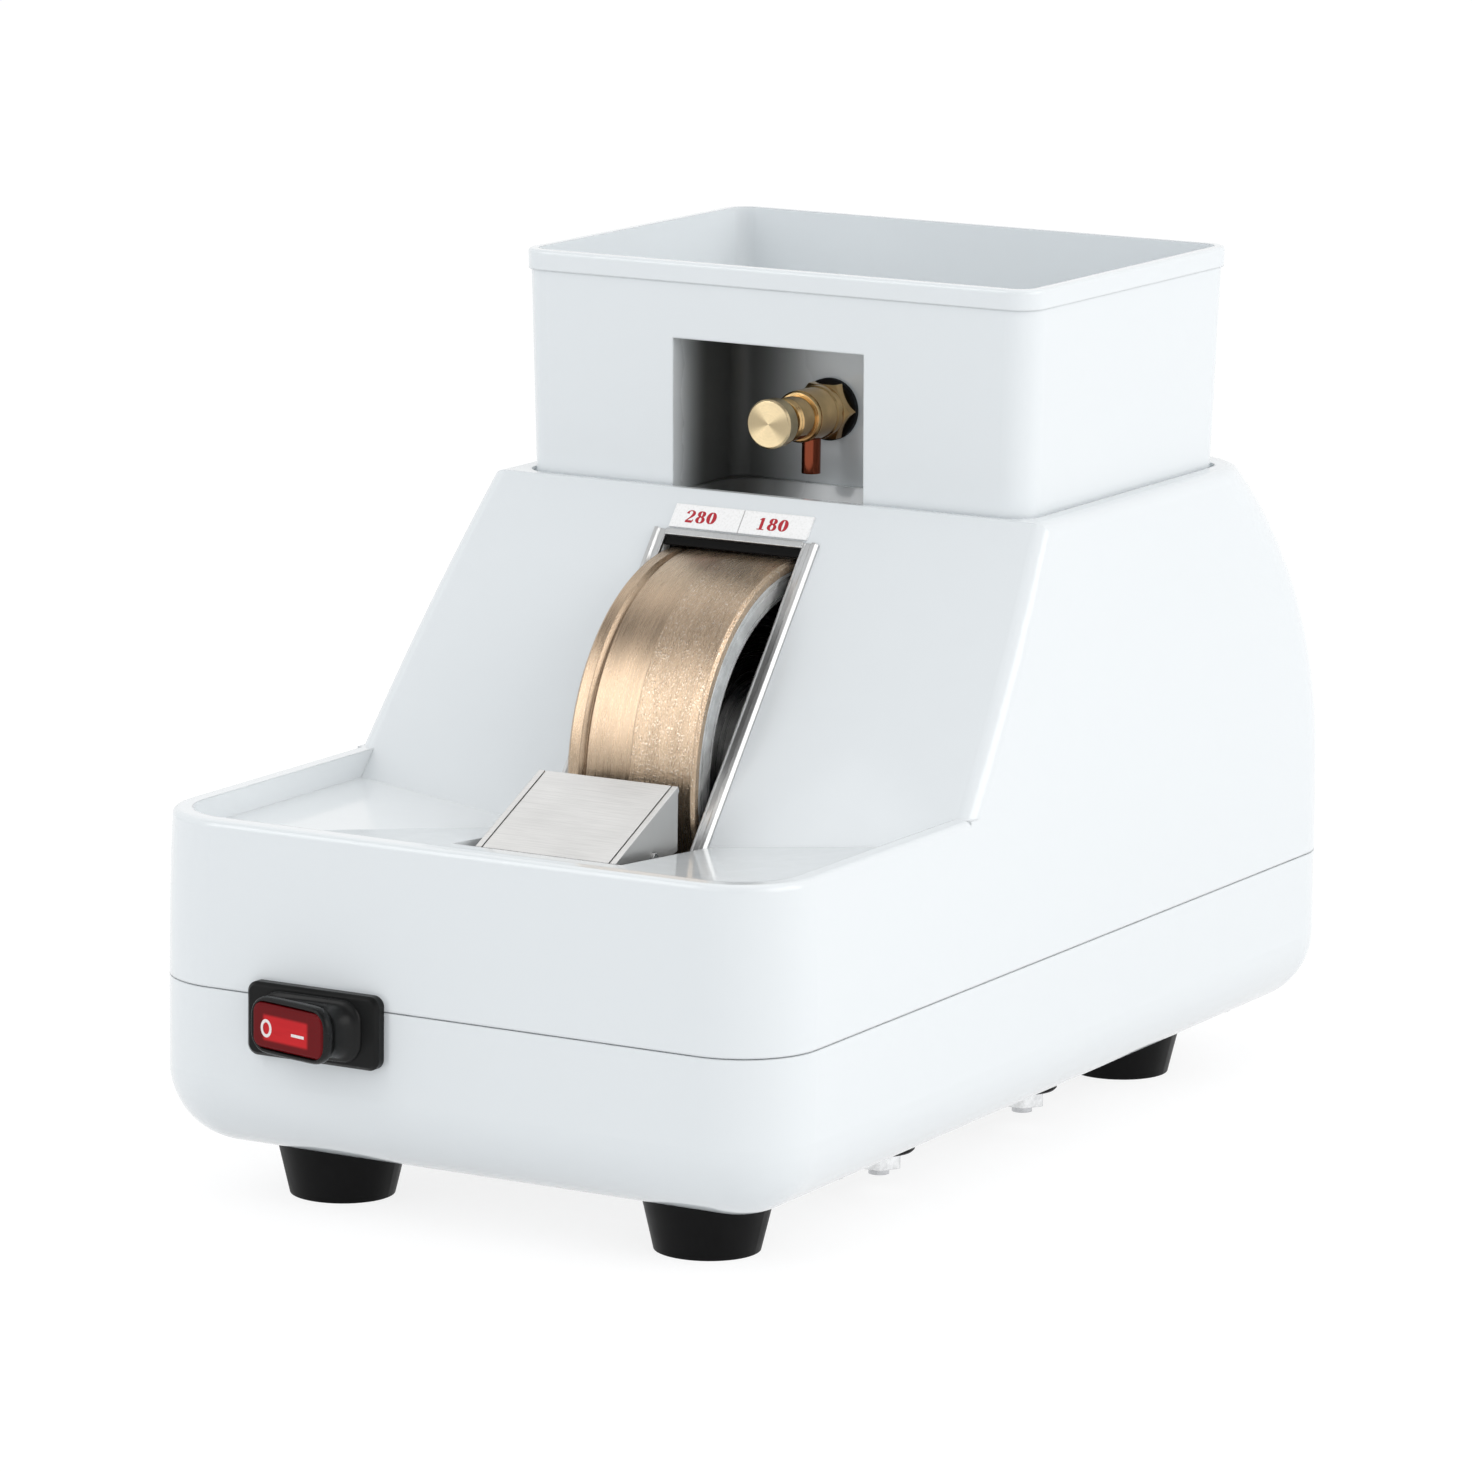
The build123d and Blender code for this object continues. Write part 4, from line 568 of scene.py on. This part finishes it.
def turned_metal(name, base, roughness, centre, axis, lines=2600.0, depth=0.3, dark=0.75,
                 painted_reflection=0.0, painted_underside_shade=0.0):
    """Metal turned on a lathe: fine rings about an axis, 0 for X or 1 for Y, painted wedges of light
    and dark that stand in for the reflection the rings throw, and painted shade on the underside."""
    finish = Finish(name)
    parts = finish.split(finish.shifted(centre))
    across = [part for index, part in enumerate(parts) if index != axis]
    radius = (across[0] * across[0] + across[1] * across[1]) ** 0.5
    track = finish.join(radius * lines, parts[axis] * lines, 0.0)
    rings = finish.noise(track, 1.0, detail=2.0, roughness=0.7)
    stains = finish.noise(finish.place(), 240.0)
    tone = finish.blend(stains.ramp(0.25, 0.75), shaded(base, dark), base)
    if painted_underside_shade:
        # Painted shade: the colour darkens from just above the axis to below it
        unshaded_height = 0.0035
        full_shade_height = -0.005
        under = parts[2].ramp(unshaded_height, full_shade_height, 0.0, painted_underside_shade)
        tone = finish.blend(under, tone, shaded(base, (0.34, 0.26, 0.20)))
    if painted_reflection:
        # Painted reflection: the face is darker in two opposite wedges, like the bow-tie highlight of turned
        # metal
        phase = math.radians(165.0)
        around = across[1].math("ARCTAN2", across[0])
        wedges = (around * 2.0 - phase).math("COSINE").ramp(-1.0, 0.3, painted_reflection, 0.0)
        tone = finish.blend(wedges, tone, shaded(base, 0.35))
    return finish.surface(base_color=tone, metallic=1.0,
                          roughness=rings.ramp(0.3, 0.7, roughness * 0.75, roughness * 1.3),
                          normal=finish.bump(rings, depth, 0.00012, finish.edges(0.0003)))


def brushed_metal(name, base, roughness, stretch, depth=0.18, sideways_shade=1.0):
    """Sheet metal brushed one way: stretch is small along the brushing. Faces that look sideways
    are darkened by the factor given last: painted shade."""
    finish = Finish(name)
    lines = finish.noise(finish.stretched(stretch), 1.0, detail=4.0, roughness=0.65)
    smudge = finish.noise(finish.place(), 55.0)
    tone = finish.blend(lines.ramp(0.3, 0.7), shaded(base, 0.88), base)
    if sideways_shade < 1.0:
        # Painted shade on the faces that look sideways
        sideways = finish.split(finish.add("ShaderNodeTexCoord", output="Normal"))[0]
        tone = finish.blend(abs(sideways).ramp(0.6, 0.9), tone, shaded(base, sideways_shade))
    return finish.surface(base_color=tone, metallic=1.0,
                          roughness=smudge.ramp(0.3, 0.7, roughness * 0.85, roughness * 1.2),
                          normal=finish.bump(lines, depth, 0.00008, finish.edges(0.00035)))


def plain_metal(name, base, roughness, metallic=1.0):
    """Plated, painted or cast metal with a fine cloudy grain."""
    finish = Finish(name)
    cloud = finish.noise(finish.place(), 420.0, detail=4.0, roughness=0.6)
    tone = finish.blend(cloud.ramp(0.3, 0.7), shaded(base, 0.8), base)
    return finish.surface(base_color=tone, metallic=metallic,
                          roughness=cloud.ramp(0.3, 0.7, roughness * 0.8, roughness * 1.3),
                          normal=finish.bump(cloud, 0.15, 0.0001, finish.edges(0.0004)))


def grinding_band(name, bronze, sparkle, grit, amount):
    """Sintered bronze with grit in it, dressed round and round by the lenses ground on it."""
    finish = Finish(name)
    across, back, up = finish.split(finish.shifted(WHEEL_CENTRE))
    around = back.math("ARCTAN2", up)
    scores = finish.noise(finish.join(across * 2200.0, around * 5.0, 0.0), 1.0, detail=4.0, roughness=0.65)
    tracks = finish.noise(finish.join(across * 260.0, around * 2.0, 1.0), 1.0)
    grains = finish.noise(finish.place(), 0.6 / grit, detail=2.0, roughness=0.6)
    clumps = finish.noise(finish.place(), 0.16 / grit, roughness=0.6)
    specks = grains.ramp(0.54, 0.66) * clumps.ramp(0.35, 0.65, 0.25, 0.6) * amount
    pits = grains.ramp(0.46, 0.34) * clumps.ramp(0.4, 0.6, 0.3, 1.0) * amount
    wear = tracks.ramp(0.3, 0.7) * 0.6 + scores.ramp(0.3, 0.7) * 0.4
    worn = finish.blend(wear, shaded(bronze, 0.72), bronze)
    speckled = finish.blend(specks, worn, sparkle)
    pitted = finish.blend(pits * 0.5, speckled, shaded(bronze, 0.45))
    relief = scores * 0.15 + grains * (1.3 * amount)
    return finish.surface(base_color=pitted, metallic=0.95,
                          roughness=scores.ramp(0.3, 0.7, 0.24, 0.33) - specks * 0.08,
                          normal=finish.bump(relief, 0.6, 0.00014, finish.edges(0.0003)))


def lit_lens(name, switch):
    """Red moulded lens: darker at its rim, with a panel lit from behind."""
    panel_right = -0.00058
    panel_up = -0.0003
    half_width = 0.0066
    half_height = 0.0025
    side_fade = 0.0011
    top_fade = 0.0009
    finish = Finish(name)
    across, _, up = finish.split(finish.shifted(ROCKER_PIVOT, (0.0, 0.0, -switch.tilt)))
    panel = (abs(across - panel_right).ramp(half_width + side_fade, half_width)
             * abs(up - panel_up).ramp(half_height + top_fade, half_height))
    streaks = finish.noise(finish.stretched((140.0, 140.0, 900.0)), 1.0, detail=2.0)
    ripple = finish.noise(finish.place(), 380.0, detail=2.0)
    body = finish.blend(panel, shaded(switch.red, 0.35), switch.red)
    lit = finish.blend(panel * streaks.ramp(0.2, 0.8, 0.72, 1.0), (0.02, 0.0, 0.0), switch.glow)
    return finish.surface(base_color=body, roughness=ripple.ramp(0.3, 0.7, 0.10, 0.18),
                          emission_color=lit, emission_strength=0.2, specular_ior_level=0.12,
                          normal=finish.bump(ripple, 0.08, 0.0002, finish.edges(0.0005)))


def printing_ink(name, base):
    """Screen-printed ink, a little uneven."""
    finish = Finish(name)
    blot = finish.noise(finish.place(), 2200.0)
    return finish.surface(base_color=finish.blend(blot.ramp(0.3, 0.7), shaded(base, 0.85), base),
                          roughness=blot.ramp(0.3, 0.7, 0.36, 0.48))


# Pieces and their operators
def scene_settings(name):
    """One of this scene's groups of settings."""
    return getattr(bpy.context.scene, name)


class EdgerOperator:
    """What every operator here shares."""

    bl_options = {"REGISTER", "UNDO"}


class EDGER_OT_camera(EdgerOperator, bpy.types.Operator):
    """Set up the camera in front of the machine, a little to its right"""

    bl_idname = "edger.camera"
    bl_label = "Camera"

    def execute(self, context):
        studio = scene_settings("edger_studio")
        data = bpy.data.cameras.new("camera")
        data.lens = studio.lens
        data.sensor_width = 36.0
        data.clip_start = 0.05
        data.clip_end = 60.0
        camera = bpy.data.objects.new("camera", data)
        context.scene.collection.objects.link(camera)
        turn = (Matrix.Rotation(studio.yaw, 4, "Z") @ Matrix.Rotation(math.pi / 2 - studio.pitch, 4, "X")
                @ Matrix.Rotation(studio.roll, 4, "Z"))
        aim = WHEEL_CENTRE + Vector((studio.aim_right, studio.aim_back, studio.aim_up))
        camera.matrix_world = Matrix.Translation(aim) @ turn @ Matrix.Translation((0, 0, studio.distance))
        context.scene.camera = camera
        return {"FINISHED"}


class EDGER_OT_studio(EdgerOperator, bpy.types.Operator):
    """Lay the floor and hang the lamps"""

    bl_idname = "edger.studio"
    bl_label = "Floor and light"

    def execute(self, context):
        studio = scene_settings("edger_studio")
        context.scene.view_settings.view_transform = "Standard"
        self.lay_floor(studio)
        self.light_world(context, studio)
        self.hang_lamp("key_lamp", studio.key_place, studio.key_size, studio.key_power, studio.key_tint)
        self.hang_lamp("top_lamp", studio.top_place, studio.top_size, studio.top_power)
        self.hang_lamp("front_lamp", studio.front_place, studio.front_size, studio.front_power)
        return {"FINISHED"}

    def lay_floor(self, studio):
        """A round white floor, which takes part of the shadow."""
        middle = 0.0005
        near = 0.4
        far = 2.0
        rim = 14.0
        finish = Finish("floor_paper")
        paper = finish.noise(finish.place(), 900.0)
        tone = finish.blend(paper.ramp(0.3, 0.7), (0.84, 0.845, 0.85), (0.86, 0.865, 0.87))
        matte = finish.add("ShaderNodeBsdfDiffuse", {}, {"Color": tone})
        bright = finish.add("ShaderNodeEmission", {}, {"Color": (1.0, 1.0, 1.0), "Strength": 1.12})
        camera, glossy, through = finish.rays()
        shown = (camera + glossy + through).math("MINIMUM", 1.0) * (1.0 - studio.floor_shadow)
        finish.close(finish.add("ShaderNodeMixShader", {}, {0: shown, 1: matte, 2: bright}))
        rings = [[(x, y, 0.0) for x, y in round_ring(radius)] for radius in (middle, near, far, rim)]
        vertices, faces = skin(rings)
        faces.append(tuple(range(len(rings[0]))))
        floor = mesh_piece("floor", vertices, faces, finish.material)

    def light_world(self, context, studio):
        """Even light, and pale walls with darker gaps for what shines."""
        room = Room("studio")
        context.scene.world = room.world
        across, back, up = room.split(room.add("ShaderNodeTexCoord", output="Generated"))
        sky = room.blend(up.ramp(-0.1, 0.9), (0.94, 0.97, 1.0), (0.93, 0.93, 0.93))
        light = room.add("ShaderNodeBackground", {}, {"Color": sky, "Strength": studio.world_level})
        camera, glossy, through = room.rays()
        left_wall = across.ramp(0.35, 0.05) * up.ramp(0.78, 0.70) * up.ramp(-0.02, 0.10)
        back_wall = back.ramp(-0.1, 0.35)
        right_wall = across.ramp(0.5, 0.85)
        white = left_wall.math("MAXIMUM", back_wall).math("MAXIMUM", right_wall).math("MAXIMUM", camera)
        tone = room.blend(white, (0.30, 0.30, 0.31), (1.0, 1.0, 1.0))
        walls = room.add("ShaderNodeBackground", {}, {"Color": tone, "Strength": 1.0})
        shown = (camera + glossy + through).math("MINIMUM", 1.0)
        room.close(room.add("ShaderNodeMixShader", {}, {0: shown, 1: light, 2: walls}))

    def hang_lamp(self, name, offset, size, power, tint=(1.0, 1.0, 1.0)):
        """A rectangular lamp that looks at the wheel."""
        data = bpy.data.lights.new(name, "AREA")
        data.shape = "RECTANGLE"
        data.size, data.size_y = size
        data.energy = power
        data.color = tint
        lamp = bpy.data.objects.new(name, data)
        bpy.context.scene.collection.objects.link(lamp)
        place = WHEEL_CENTRE + Vector(offset)
        lamp.location = place
        lamp.rotation_mode = "QUATERNION"
        lamp.rotation_quaternion = (WHEEL_CENTRE - place).to_track_quat("-Z", "Y")


class EDGER_OT_casing(EdgerOperator, bpy.types.Operator):
    """Finish the moulded shells and the tank"""

    bl_idname = "edger.casing"
    bl_label = "Shells and tank"

    def execute(self, context):
        casing = scene_settings("edger_casing")
        # The shell gets painted shade under the tap's niche, and the tank gets it inside the niche
        shell = moulded_plastic("casing_white", casing.white, casing.gloss, casing.edge,
                                lambda finish: painted_platform_shade(finish, casing))
        tank = moulded_plastic("tank_white", casing.white, casing.gloss * 1.1, casing.edge,
                               lambda finish: painted_niche_shade(finish, casing))
        give(shell, "upper_casing", "lower_casing")
        give(tank, "water_tank")
        return {"FINISHED"}


class EDGER_OT_wheel(EdgerOperator, bpy.types.Operator):
    """Finish the grinding wheel, its core and its shaft"""

    bl_idname = "edger.wheel"
    bl_label = "Grinding wheel"

    def execute(self, context):
        wheel = scene_settings("edger_wheel")
        for band, grit, amount in (("fine", wheel.fine_grit, 0.35), ("coarse", wheel.coarse_grit, 1.0)):
            give(grinding_band(f"{band}_bronze", wheel.bronze, wheel.sparkle, grit, amount), f"{band}_band")
        give(turned_metal("turned_core", wheel.core, 0.28, WHEEL_CENTRE, 0, lines=1500.0), "wheel_hub")
        steel = (0.55, 0.56, 0.58)
        give(turned_metal("ground_steel", steel, 0.22, WHEEL_CENTRE, 0, lines=3000.0, depth=0.12),
             "motor_shaft", "front_bearing", "rear_bearing")
        return {"FINISHED"}


class EDGER_OT_fasteners(EdgerOperator, bpy.types.Operator):
    """Finish the nuts, bolts, screws and straps"""

    bl_idname = "edger.fasteners"
    bl_label = "Nuts, bolts and screws"

    def execute(self, context):
        give(plain_metal("zinc_plate", (0.62, 0.63, 0.65), 0.3),
             "wheel_washer", "wheel_nut", "motor_straps", "strap_screws", "mount_bolts", "capacitor_clip",
             "foot_screws", "casing_screws")
        give(plain_metal("bright_plate", (0.88, 0.89, 0.90), 0.2), "mount_nuts")
        return {"FINISHED"}


class EDGER_OT_trim(EdgerOperator, bpy.types.Operator):
    """Finish the slot frame, the splash lip, the lens rest and its pin"""

    bl_idname = "edger.trim"
    bl_label = "Frame and lens rest"

    def execute(self, context):
        metal = scene_settings("edger_metal")
        give(brushed_metal("frame_steel", metal.trim, 0.36, (9000.0, 60.0, 60.0)), "slot_frame")
        give(rubber("lip_rubber", (0.003, 0.003, 0.003), 0.45), "splash_lip")
        give(brushed_metal("rest_steel", metal.sheet, 0.40, (90.0, 4200.0, 4200.0), depth=0.1, sideways_shade=0.62),
             "lens_rest")
        give(turned_metal("pin_steel", metal.trim, 0.2, REST_PIN, 0), "rest_pin")
        return {"FINISHED"}


class EDGER_OT_tap(EdgerOperator, bpy.types.Operator):
    """Finish the tap, its spout and the seals"""

    bl_idname = "edger.tap"
    bl_label = "Tap"

    def execute(self, context):
        metal = scene_settings("edger_metal")
        dull_brass = shaded(metal.brass, (0.93, 0.79, 0.61))
        give(turned_metal("turned_brass", dull_brass, 0.12, TAP_AXIS, 1, lines=2400.0, depth=0.12,
                          painted_underside_shade=0.85), "tap_body", "tap_backnut")
        give(turned_metal("faced_brass", metal.brass, 0.20, TAP_AXIS, 1, lines=2400.0, depth=0.2,
                          dark=0.9, painted_reflection=0.75), "tap_knob")
        give(brushed_metal("dark_copper", metal.copper, 0.12, (4000.0, 4000.0, 120.0), depth=0.05),
             "tap_spout")
        give(rubber("seal_rubber", (0.008, 0.008, 0.009)), "tap_gasket", "tap_washer", "shaft_seal",
             "mount_washers")
        return {"FINISHED"}


class EDGER_OT_feet(EdgerOperator, bpy.types.Operator):
    """Finish the rubber feet and mould the grommets of the motor's bolts"""

    bl_idname = "edger.feet"
    bl_label = "Feet"

    def execute(self, context):
        feet = scene_settings("edger_feet")
        give(rubber("foot_rubber", feet.black, 0.46), "rubber_feet")
        self.mould_grommets(feet)
        return {"FINISHED"}

    def mould_grommets(self, feet):
        """Rubber washers of the motor's bolts, each with a skirt that cups the nut under it."""
        black = rubber("grommet_rubber", feet.black, 0.4)
        for count, (low, high) in enumerate(solid_boxes("mount_washers"), start=1):
            middle = (low + high) / 2
            outer = (high.x - low.x) / 2
            rim = low.z - feet.skirt
            profile = ((feet.bolt, high.z), (outer, high.z), (outer, rim + feet.soft),
                       (outer - feet.soft, rim), (feet.cup + feet.soft, rim), (feet.cup, rim + feet.soft),
                       (feet.cup, low.z), (feet.bolt, low.z), (feet.bolt, high.z))
            rings = [[(middle.x + x, middle.y + y, height) for x, y in round_ring(radius)]
                     for radius, height in profile]
            vertices, faces = skin(rings)
            grommet = mesh_piece(f"bolt_grommet_{count}", vertices, faces, black, smooth=False)
            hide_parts("mount_washers")
            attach(grommet, "casing")


class EDGER_OT_plates(EdgerOperator, bpy.types.Operator):
    """Finish the two plates and print their numbers"""

    bl_idname = "edger.plates"
    bl_label = "Plates and numbers"

    def execute(self, context):
        printed = scene_settings("edger_print")
        finish = Finish("plate_white")
        grain = finish.noise(finish.place(), 1800.0)
        tone = finish.blend(grain.ramp(0.3, 0.7), (0.93, 0.93, 0.925), (0.97, 0.97, 0.97))
        give(finish.surface(base_color=tone, roughness=grain.ramp(0.3, 0.7, 0.25, 0.36),
                            normal=finish.edges(0.0002)), "fine_plate", "coarse_plate")
        ink = printing_ink("red_ink", printed.ink)
        for band, text, shift in (("fine", printed.fine, printed.fine_shift),
                                  ("coarse", printed.coarse, printed.coarse_shift)):
            self.print_number(f"{band}_number", text, f"{band}_plate", printed, shift, ink)
        return {"FINISHED"}

    def print_number(self, name, text, plate, printed, shift, ink):
        """Bold figures, flat on a plate that leans with the incline."""
        ink_gap = 0.00003
        ink_layer = 0.000004
        vertices = []
        faces = []
        wide = printed.size * printed.width
        start = shift - printed.pitch * (len(text) - 1) / 2 - FIGURE_WIDTH / 2 * wide
        for place, figure in enumerate(text):
            for layer, stroke in enumerate(FIGURES[figure]):
                first = len(vertices)
                for sides in pen_sides(stroke, printed.weight):
                    for side in sides:
                        across = start + place * printed.pitch + side.x * wide
                        vertices.append((across, (side.y - 0.5) * printed.size, layer * ink_layer))
                for row in range(first, len(vertices) - 2, 2):
                    faces.append((row, row + 1, row + 3, row + 2))
        number = mesh_piece(name, vertices, faces, ink, smooth=False)
        low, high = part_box(plate)
        lean = self.lean(plate)
        normal = Vector((0, -math.sin(lean), math.cos(lean)))
        middle = (low + high) / 2 + normal * (self.half_thickness(plate, normal) + ink_gap)
        number.matrix_world = Matrix.Translation(middle) @ Matrix.Rotation(lean, 4, "X")
        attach(number, "casing")

    def lean(self, plate):
        """The plate's slope, from the largest face of its mesh."""
        face = max(frame["nodes"][plate].data.polygons, key=lambda polygon: polygon.area)
        normal = face.normal if face.normal.z > 0 else -face.normal
        return math.atan2(-normal.y, normal.z)

    def half_thickness(self, plate, normal):
        """Half of the plate's reach along its normal."""
        reach = [vertex.co @ normal for vertex in frame["nodes"][plate].data.vertices]
        return (max(reach) - min(reach)) / 2


# The boot's profile. Each row says how much narrower and lower it is there than its foot or its head,
# the radius of its corners, and how far out it is from the bezel's front or from the lens.
BOOT_FOOT = (
    (0.0, 0.0, 0.0052, 0.0),
    (0.0002, 0.0002, 0.0052, 0.0006),
    (0.0012, 0.0011, 0.0050, 0.0010),
    (0.0034, 0.0030, 0.0045, 0.0011),
)
BOOT_HEAD = (
    (0.0024, 0.0022, 0.0042, -0.0025),
    (0.0006, 0.0006, 0.0050, -0.0022),
    (0.0, 0.0, 0.0052, -0.0016),
    (0.0, 0.0, 0.0052, -0.0006),
    (0.0003, 0.0003, 0.0050, 0.0),
    (0.0011, 0.0011, 0.0046, 0.0005),
    (0.0019, 0.0019, 0.0040, 0.0006),
    (0.0025, 0.0025, 0.0036, 0.0003),
    (0.0027, 0.0027, 0.0034, -0.0004),
)


class EDGER_OT_switch(EdgerOperator, bpy.types.Operator):
    """Mould the switch's boot and finish its bezel, lens and marks"""

    bl_idname = "edger.switch"
    bl_label = "Rocker switch"

    def execute(self, context):
        switch = scene_settings("edger_switch")
        give(rubber("bezel_black", switch.black, 0.32, 0.18), "switch_bezel")
        give(rubber("switch_black", switch.black), "switch_body")
        give(plain_metal("terminal_brass", (0.70, 0.52, 0.28), 0.3), "switch_terminals")
        give(lit_lens("red_lens", switch), "rocker_lens")
        self.mould_boot(switch)
        self.print_marks(switch)
        return {"FINISHED"}

    def head_point(self, switch, across, up, out):
        """A point of the leaning head, out from the pivot."""
        lean = Matrix.Rotation(-switch.tilt, 4, "Z")
        return ROCKER_PIVOT + lean @ Vector((across, -out, up))

    def mould_boot(self, switch):
        """One rubber skin: clamped on the bezel, pinched in, and full round the lens."""
        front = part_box("switch_bezel")[0].y
        rings = []
        for narrower, lower, corner, out in BOOT_FOOT:
            ring = rounded_ring(switch.foot_width - narrower, switch.foot_height - lower, corner)
            rings.append([(ROCKER_PIVOT.x + point.x, front - out, ROCKER_PIVOT.z + point.y)
                          for point in ring])
        for narrower, lower, corner, out in BOOT_HEAD:
            ring = rounded_ring(switch.width - narrower, switch.height - lower, corner)
            rings.append([self.head_point(switch, point.x, point.y, switch.face + out) for point in ring])
        vertices, faces = skin(rings)
        black = rubber("boot_rubber", switch.black, 0.26, 0.22)
        boot = mesh_piece("switch_boot_skin", vertices, faces, black)
        smooth = boot.modifiers.new("smooth", "SUBSURF")
        smooth.levels = 1
        smooth.render_levels = 1
        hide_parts("switch_boot", "rocker_cap")
        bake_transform(boot)

    def print_marks(self, switch):
        """A ring and a bar, as on any rocker switch."""
        ring_right = -0.00685
        ring_up = -0.0005
        bar_right = 0.00343
        bar_up = -0.00083
        bar_half = 0.0021
        bar_line = 0.0007
        ink_gap = 0.00002
        narrower_share = 0.17
        half = switch.mark / 2
        narrower = half * narrower_share
        white = printing_ink("mark_white", (0.86, 0.80, 0.79))
        out = self.lens_face(switch) + ink_gap
        rings = [[self.head_point(switch, ring_right + (radius - narrower) * x, ring_up + radius * y, out)
                  for x, y in round_ring(1.0, 32)] for radius in (half, half - switch.mark_line)]
        vertices, faces = skin(rings)
        circle = mesh_piece("off_mark", vertices, faces, white)
        bar = [self.head_point(switch, bar_right + x * bar_half, bar_up + y * bar_line / 2, out)
               for x, y in ((-1, -1), (1, -1), (1, 1), (-1, 1))]
        dash = mesh_piece("on_mark", bar, [(0, 1, 2, 3)], white)
        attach(circle, "rocker")
        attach(dash, "rocker")

    def lens_face(self, switch):
        """How far the lens stands out from the pivot."""
        lean = Matrix.Rotation(switch.tilt, 4, "Z")
        mesh = frame["nodes"]["rocker_lens"].data
        return max(-(lean @ (vertex.co - ROCKER_PIVOT)).y for vertex in mesh.vertices)


class EDGER_OT_insides(EdgerOperator, bpy.types.Operator):
    """Finish the motor, its cradle, the wiring parts, the splash well and the drain"""

    bl_idname = "edger.insides"
    bl_label = "Motor and insides"

    def execute(self, context):
        edge = 0.0004
        give(plain_metal("motor_paint", (0.05, 0.07, 0.09), 0.4, metallic=0.0), "motor_drum")
        give(plain_metal("cast_cover", (0.5, 0.51, 0.53), 0.45), "motor_front_cover", "motor_rear_cover")
        give(plain_metal("core_laminations", (0.2, 0.2, 0.21), 0.5), "motor_rotor")
        give(plain_metal("cradle_paint", (0.10, 0.11, 0.12), 0.5, metallic=0.0), "motor_cradle")
        # The splash well is black plastic, made near-black also as painted shade for the dark inside of the
        # casing
        give(moulded_plastic("black_plastic", (0.02, 0.02, 0.021), 0.45, edge), "splash_well")
        give(moulded_plastic("grey_plastic", (0.24, 0.26, 0.28), 0.4, edge), "drain_pipe", "terminal_block")
        give(moulded_plastic("capacitor_grey", (0.5, 0.52, 0.54), 0.35, edge), "run_capacitor")
        give(rubber("gland_black", (0.012, 0.012, 0.013), 0.42), "cord_gland")
        return {"FINISHED"}


class EDGER_PT_panel(bpy.types.Panel):
    """Lists the steps and their settings"""

    bl_idname = "EDGER_PT_panel"
    bl_label = "Lens edger"
    bl_space_type = "VIEW_3D"
    bl_region_type = "UI"
    bl_category = "Edger"

    def draw(self, context):
        for operator in OPERATORS:
            self.layout.operator(operator.bl_idname)
        for name, group in GROUPS.items():
            box = self.layout.box()
            box.label(text=group.__doc__)
            for key in group.__annotations__:
                box.prop(getattr(context.scene, name), key)


GROUPS = {
    "edger_studio": StudioSettings,
    "edger_casing": CasingSettings,
    "edger_wheel": WheelSettings,
    "edger_metal": MetalSettings,
    "edger_feet": FeetSettings,
    "edger_switch": SwitchSettings,
    "edger_print": PrintSettings,
}
OPERATORS = (EDGER_OT_camera, EDGER_OT_studio, EDGER_OT_casing, EDGER_OT_wheel, EDGER_OT_fasteners,
             EDGER_OT_trim, EDGER_OT_tap, EDGER_OT_feet, EDGER_OT_plates, EDGER_OT_switch, EDGER_OT_insides)
STEPS = (bpy.ops.edger.camera, bpy.ops.edger.studio, bpy.ops.edger.casing, bpy.ops.edger.wheel,
         bpy.ops.edger.fasteners, bpy.ops.edger.trim, bpy.ops.edger.tap, bpy.ops.edger.feet,
         bpy.ops.edger.plates, bpy.ops.edger.switch, bpy.ops.edger.insides)


def register():
    for name, group in GROUPS.items():
        bpy.utils.register_class(group)
        setattr(bpy.types.Scene, name, PointerProperty(type=group))
    for kind in (*OPERATORS, EDGER_PT_panel):
        bpy.utils.register_class(kind)


def unregister():
    for kind in reversed((*OPERATORS, EDGER_PT_panel)):
        bpy.utils.unregister_class(kind)
    for name, group in reversed(GROUPS.items()):
        delattr(bpy.types.Scene, name)
        bpy.utils.unregister_class(group)


def main():
    register()
    for step in STEPS:
        step()


if __name__ == "__main__":
    main()
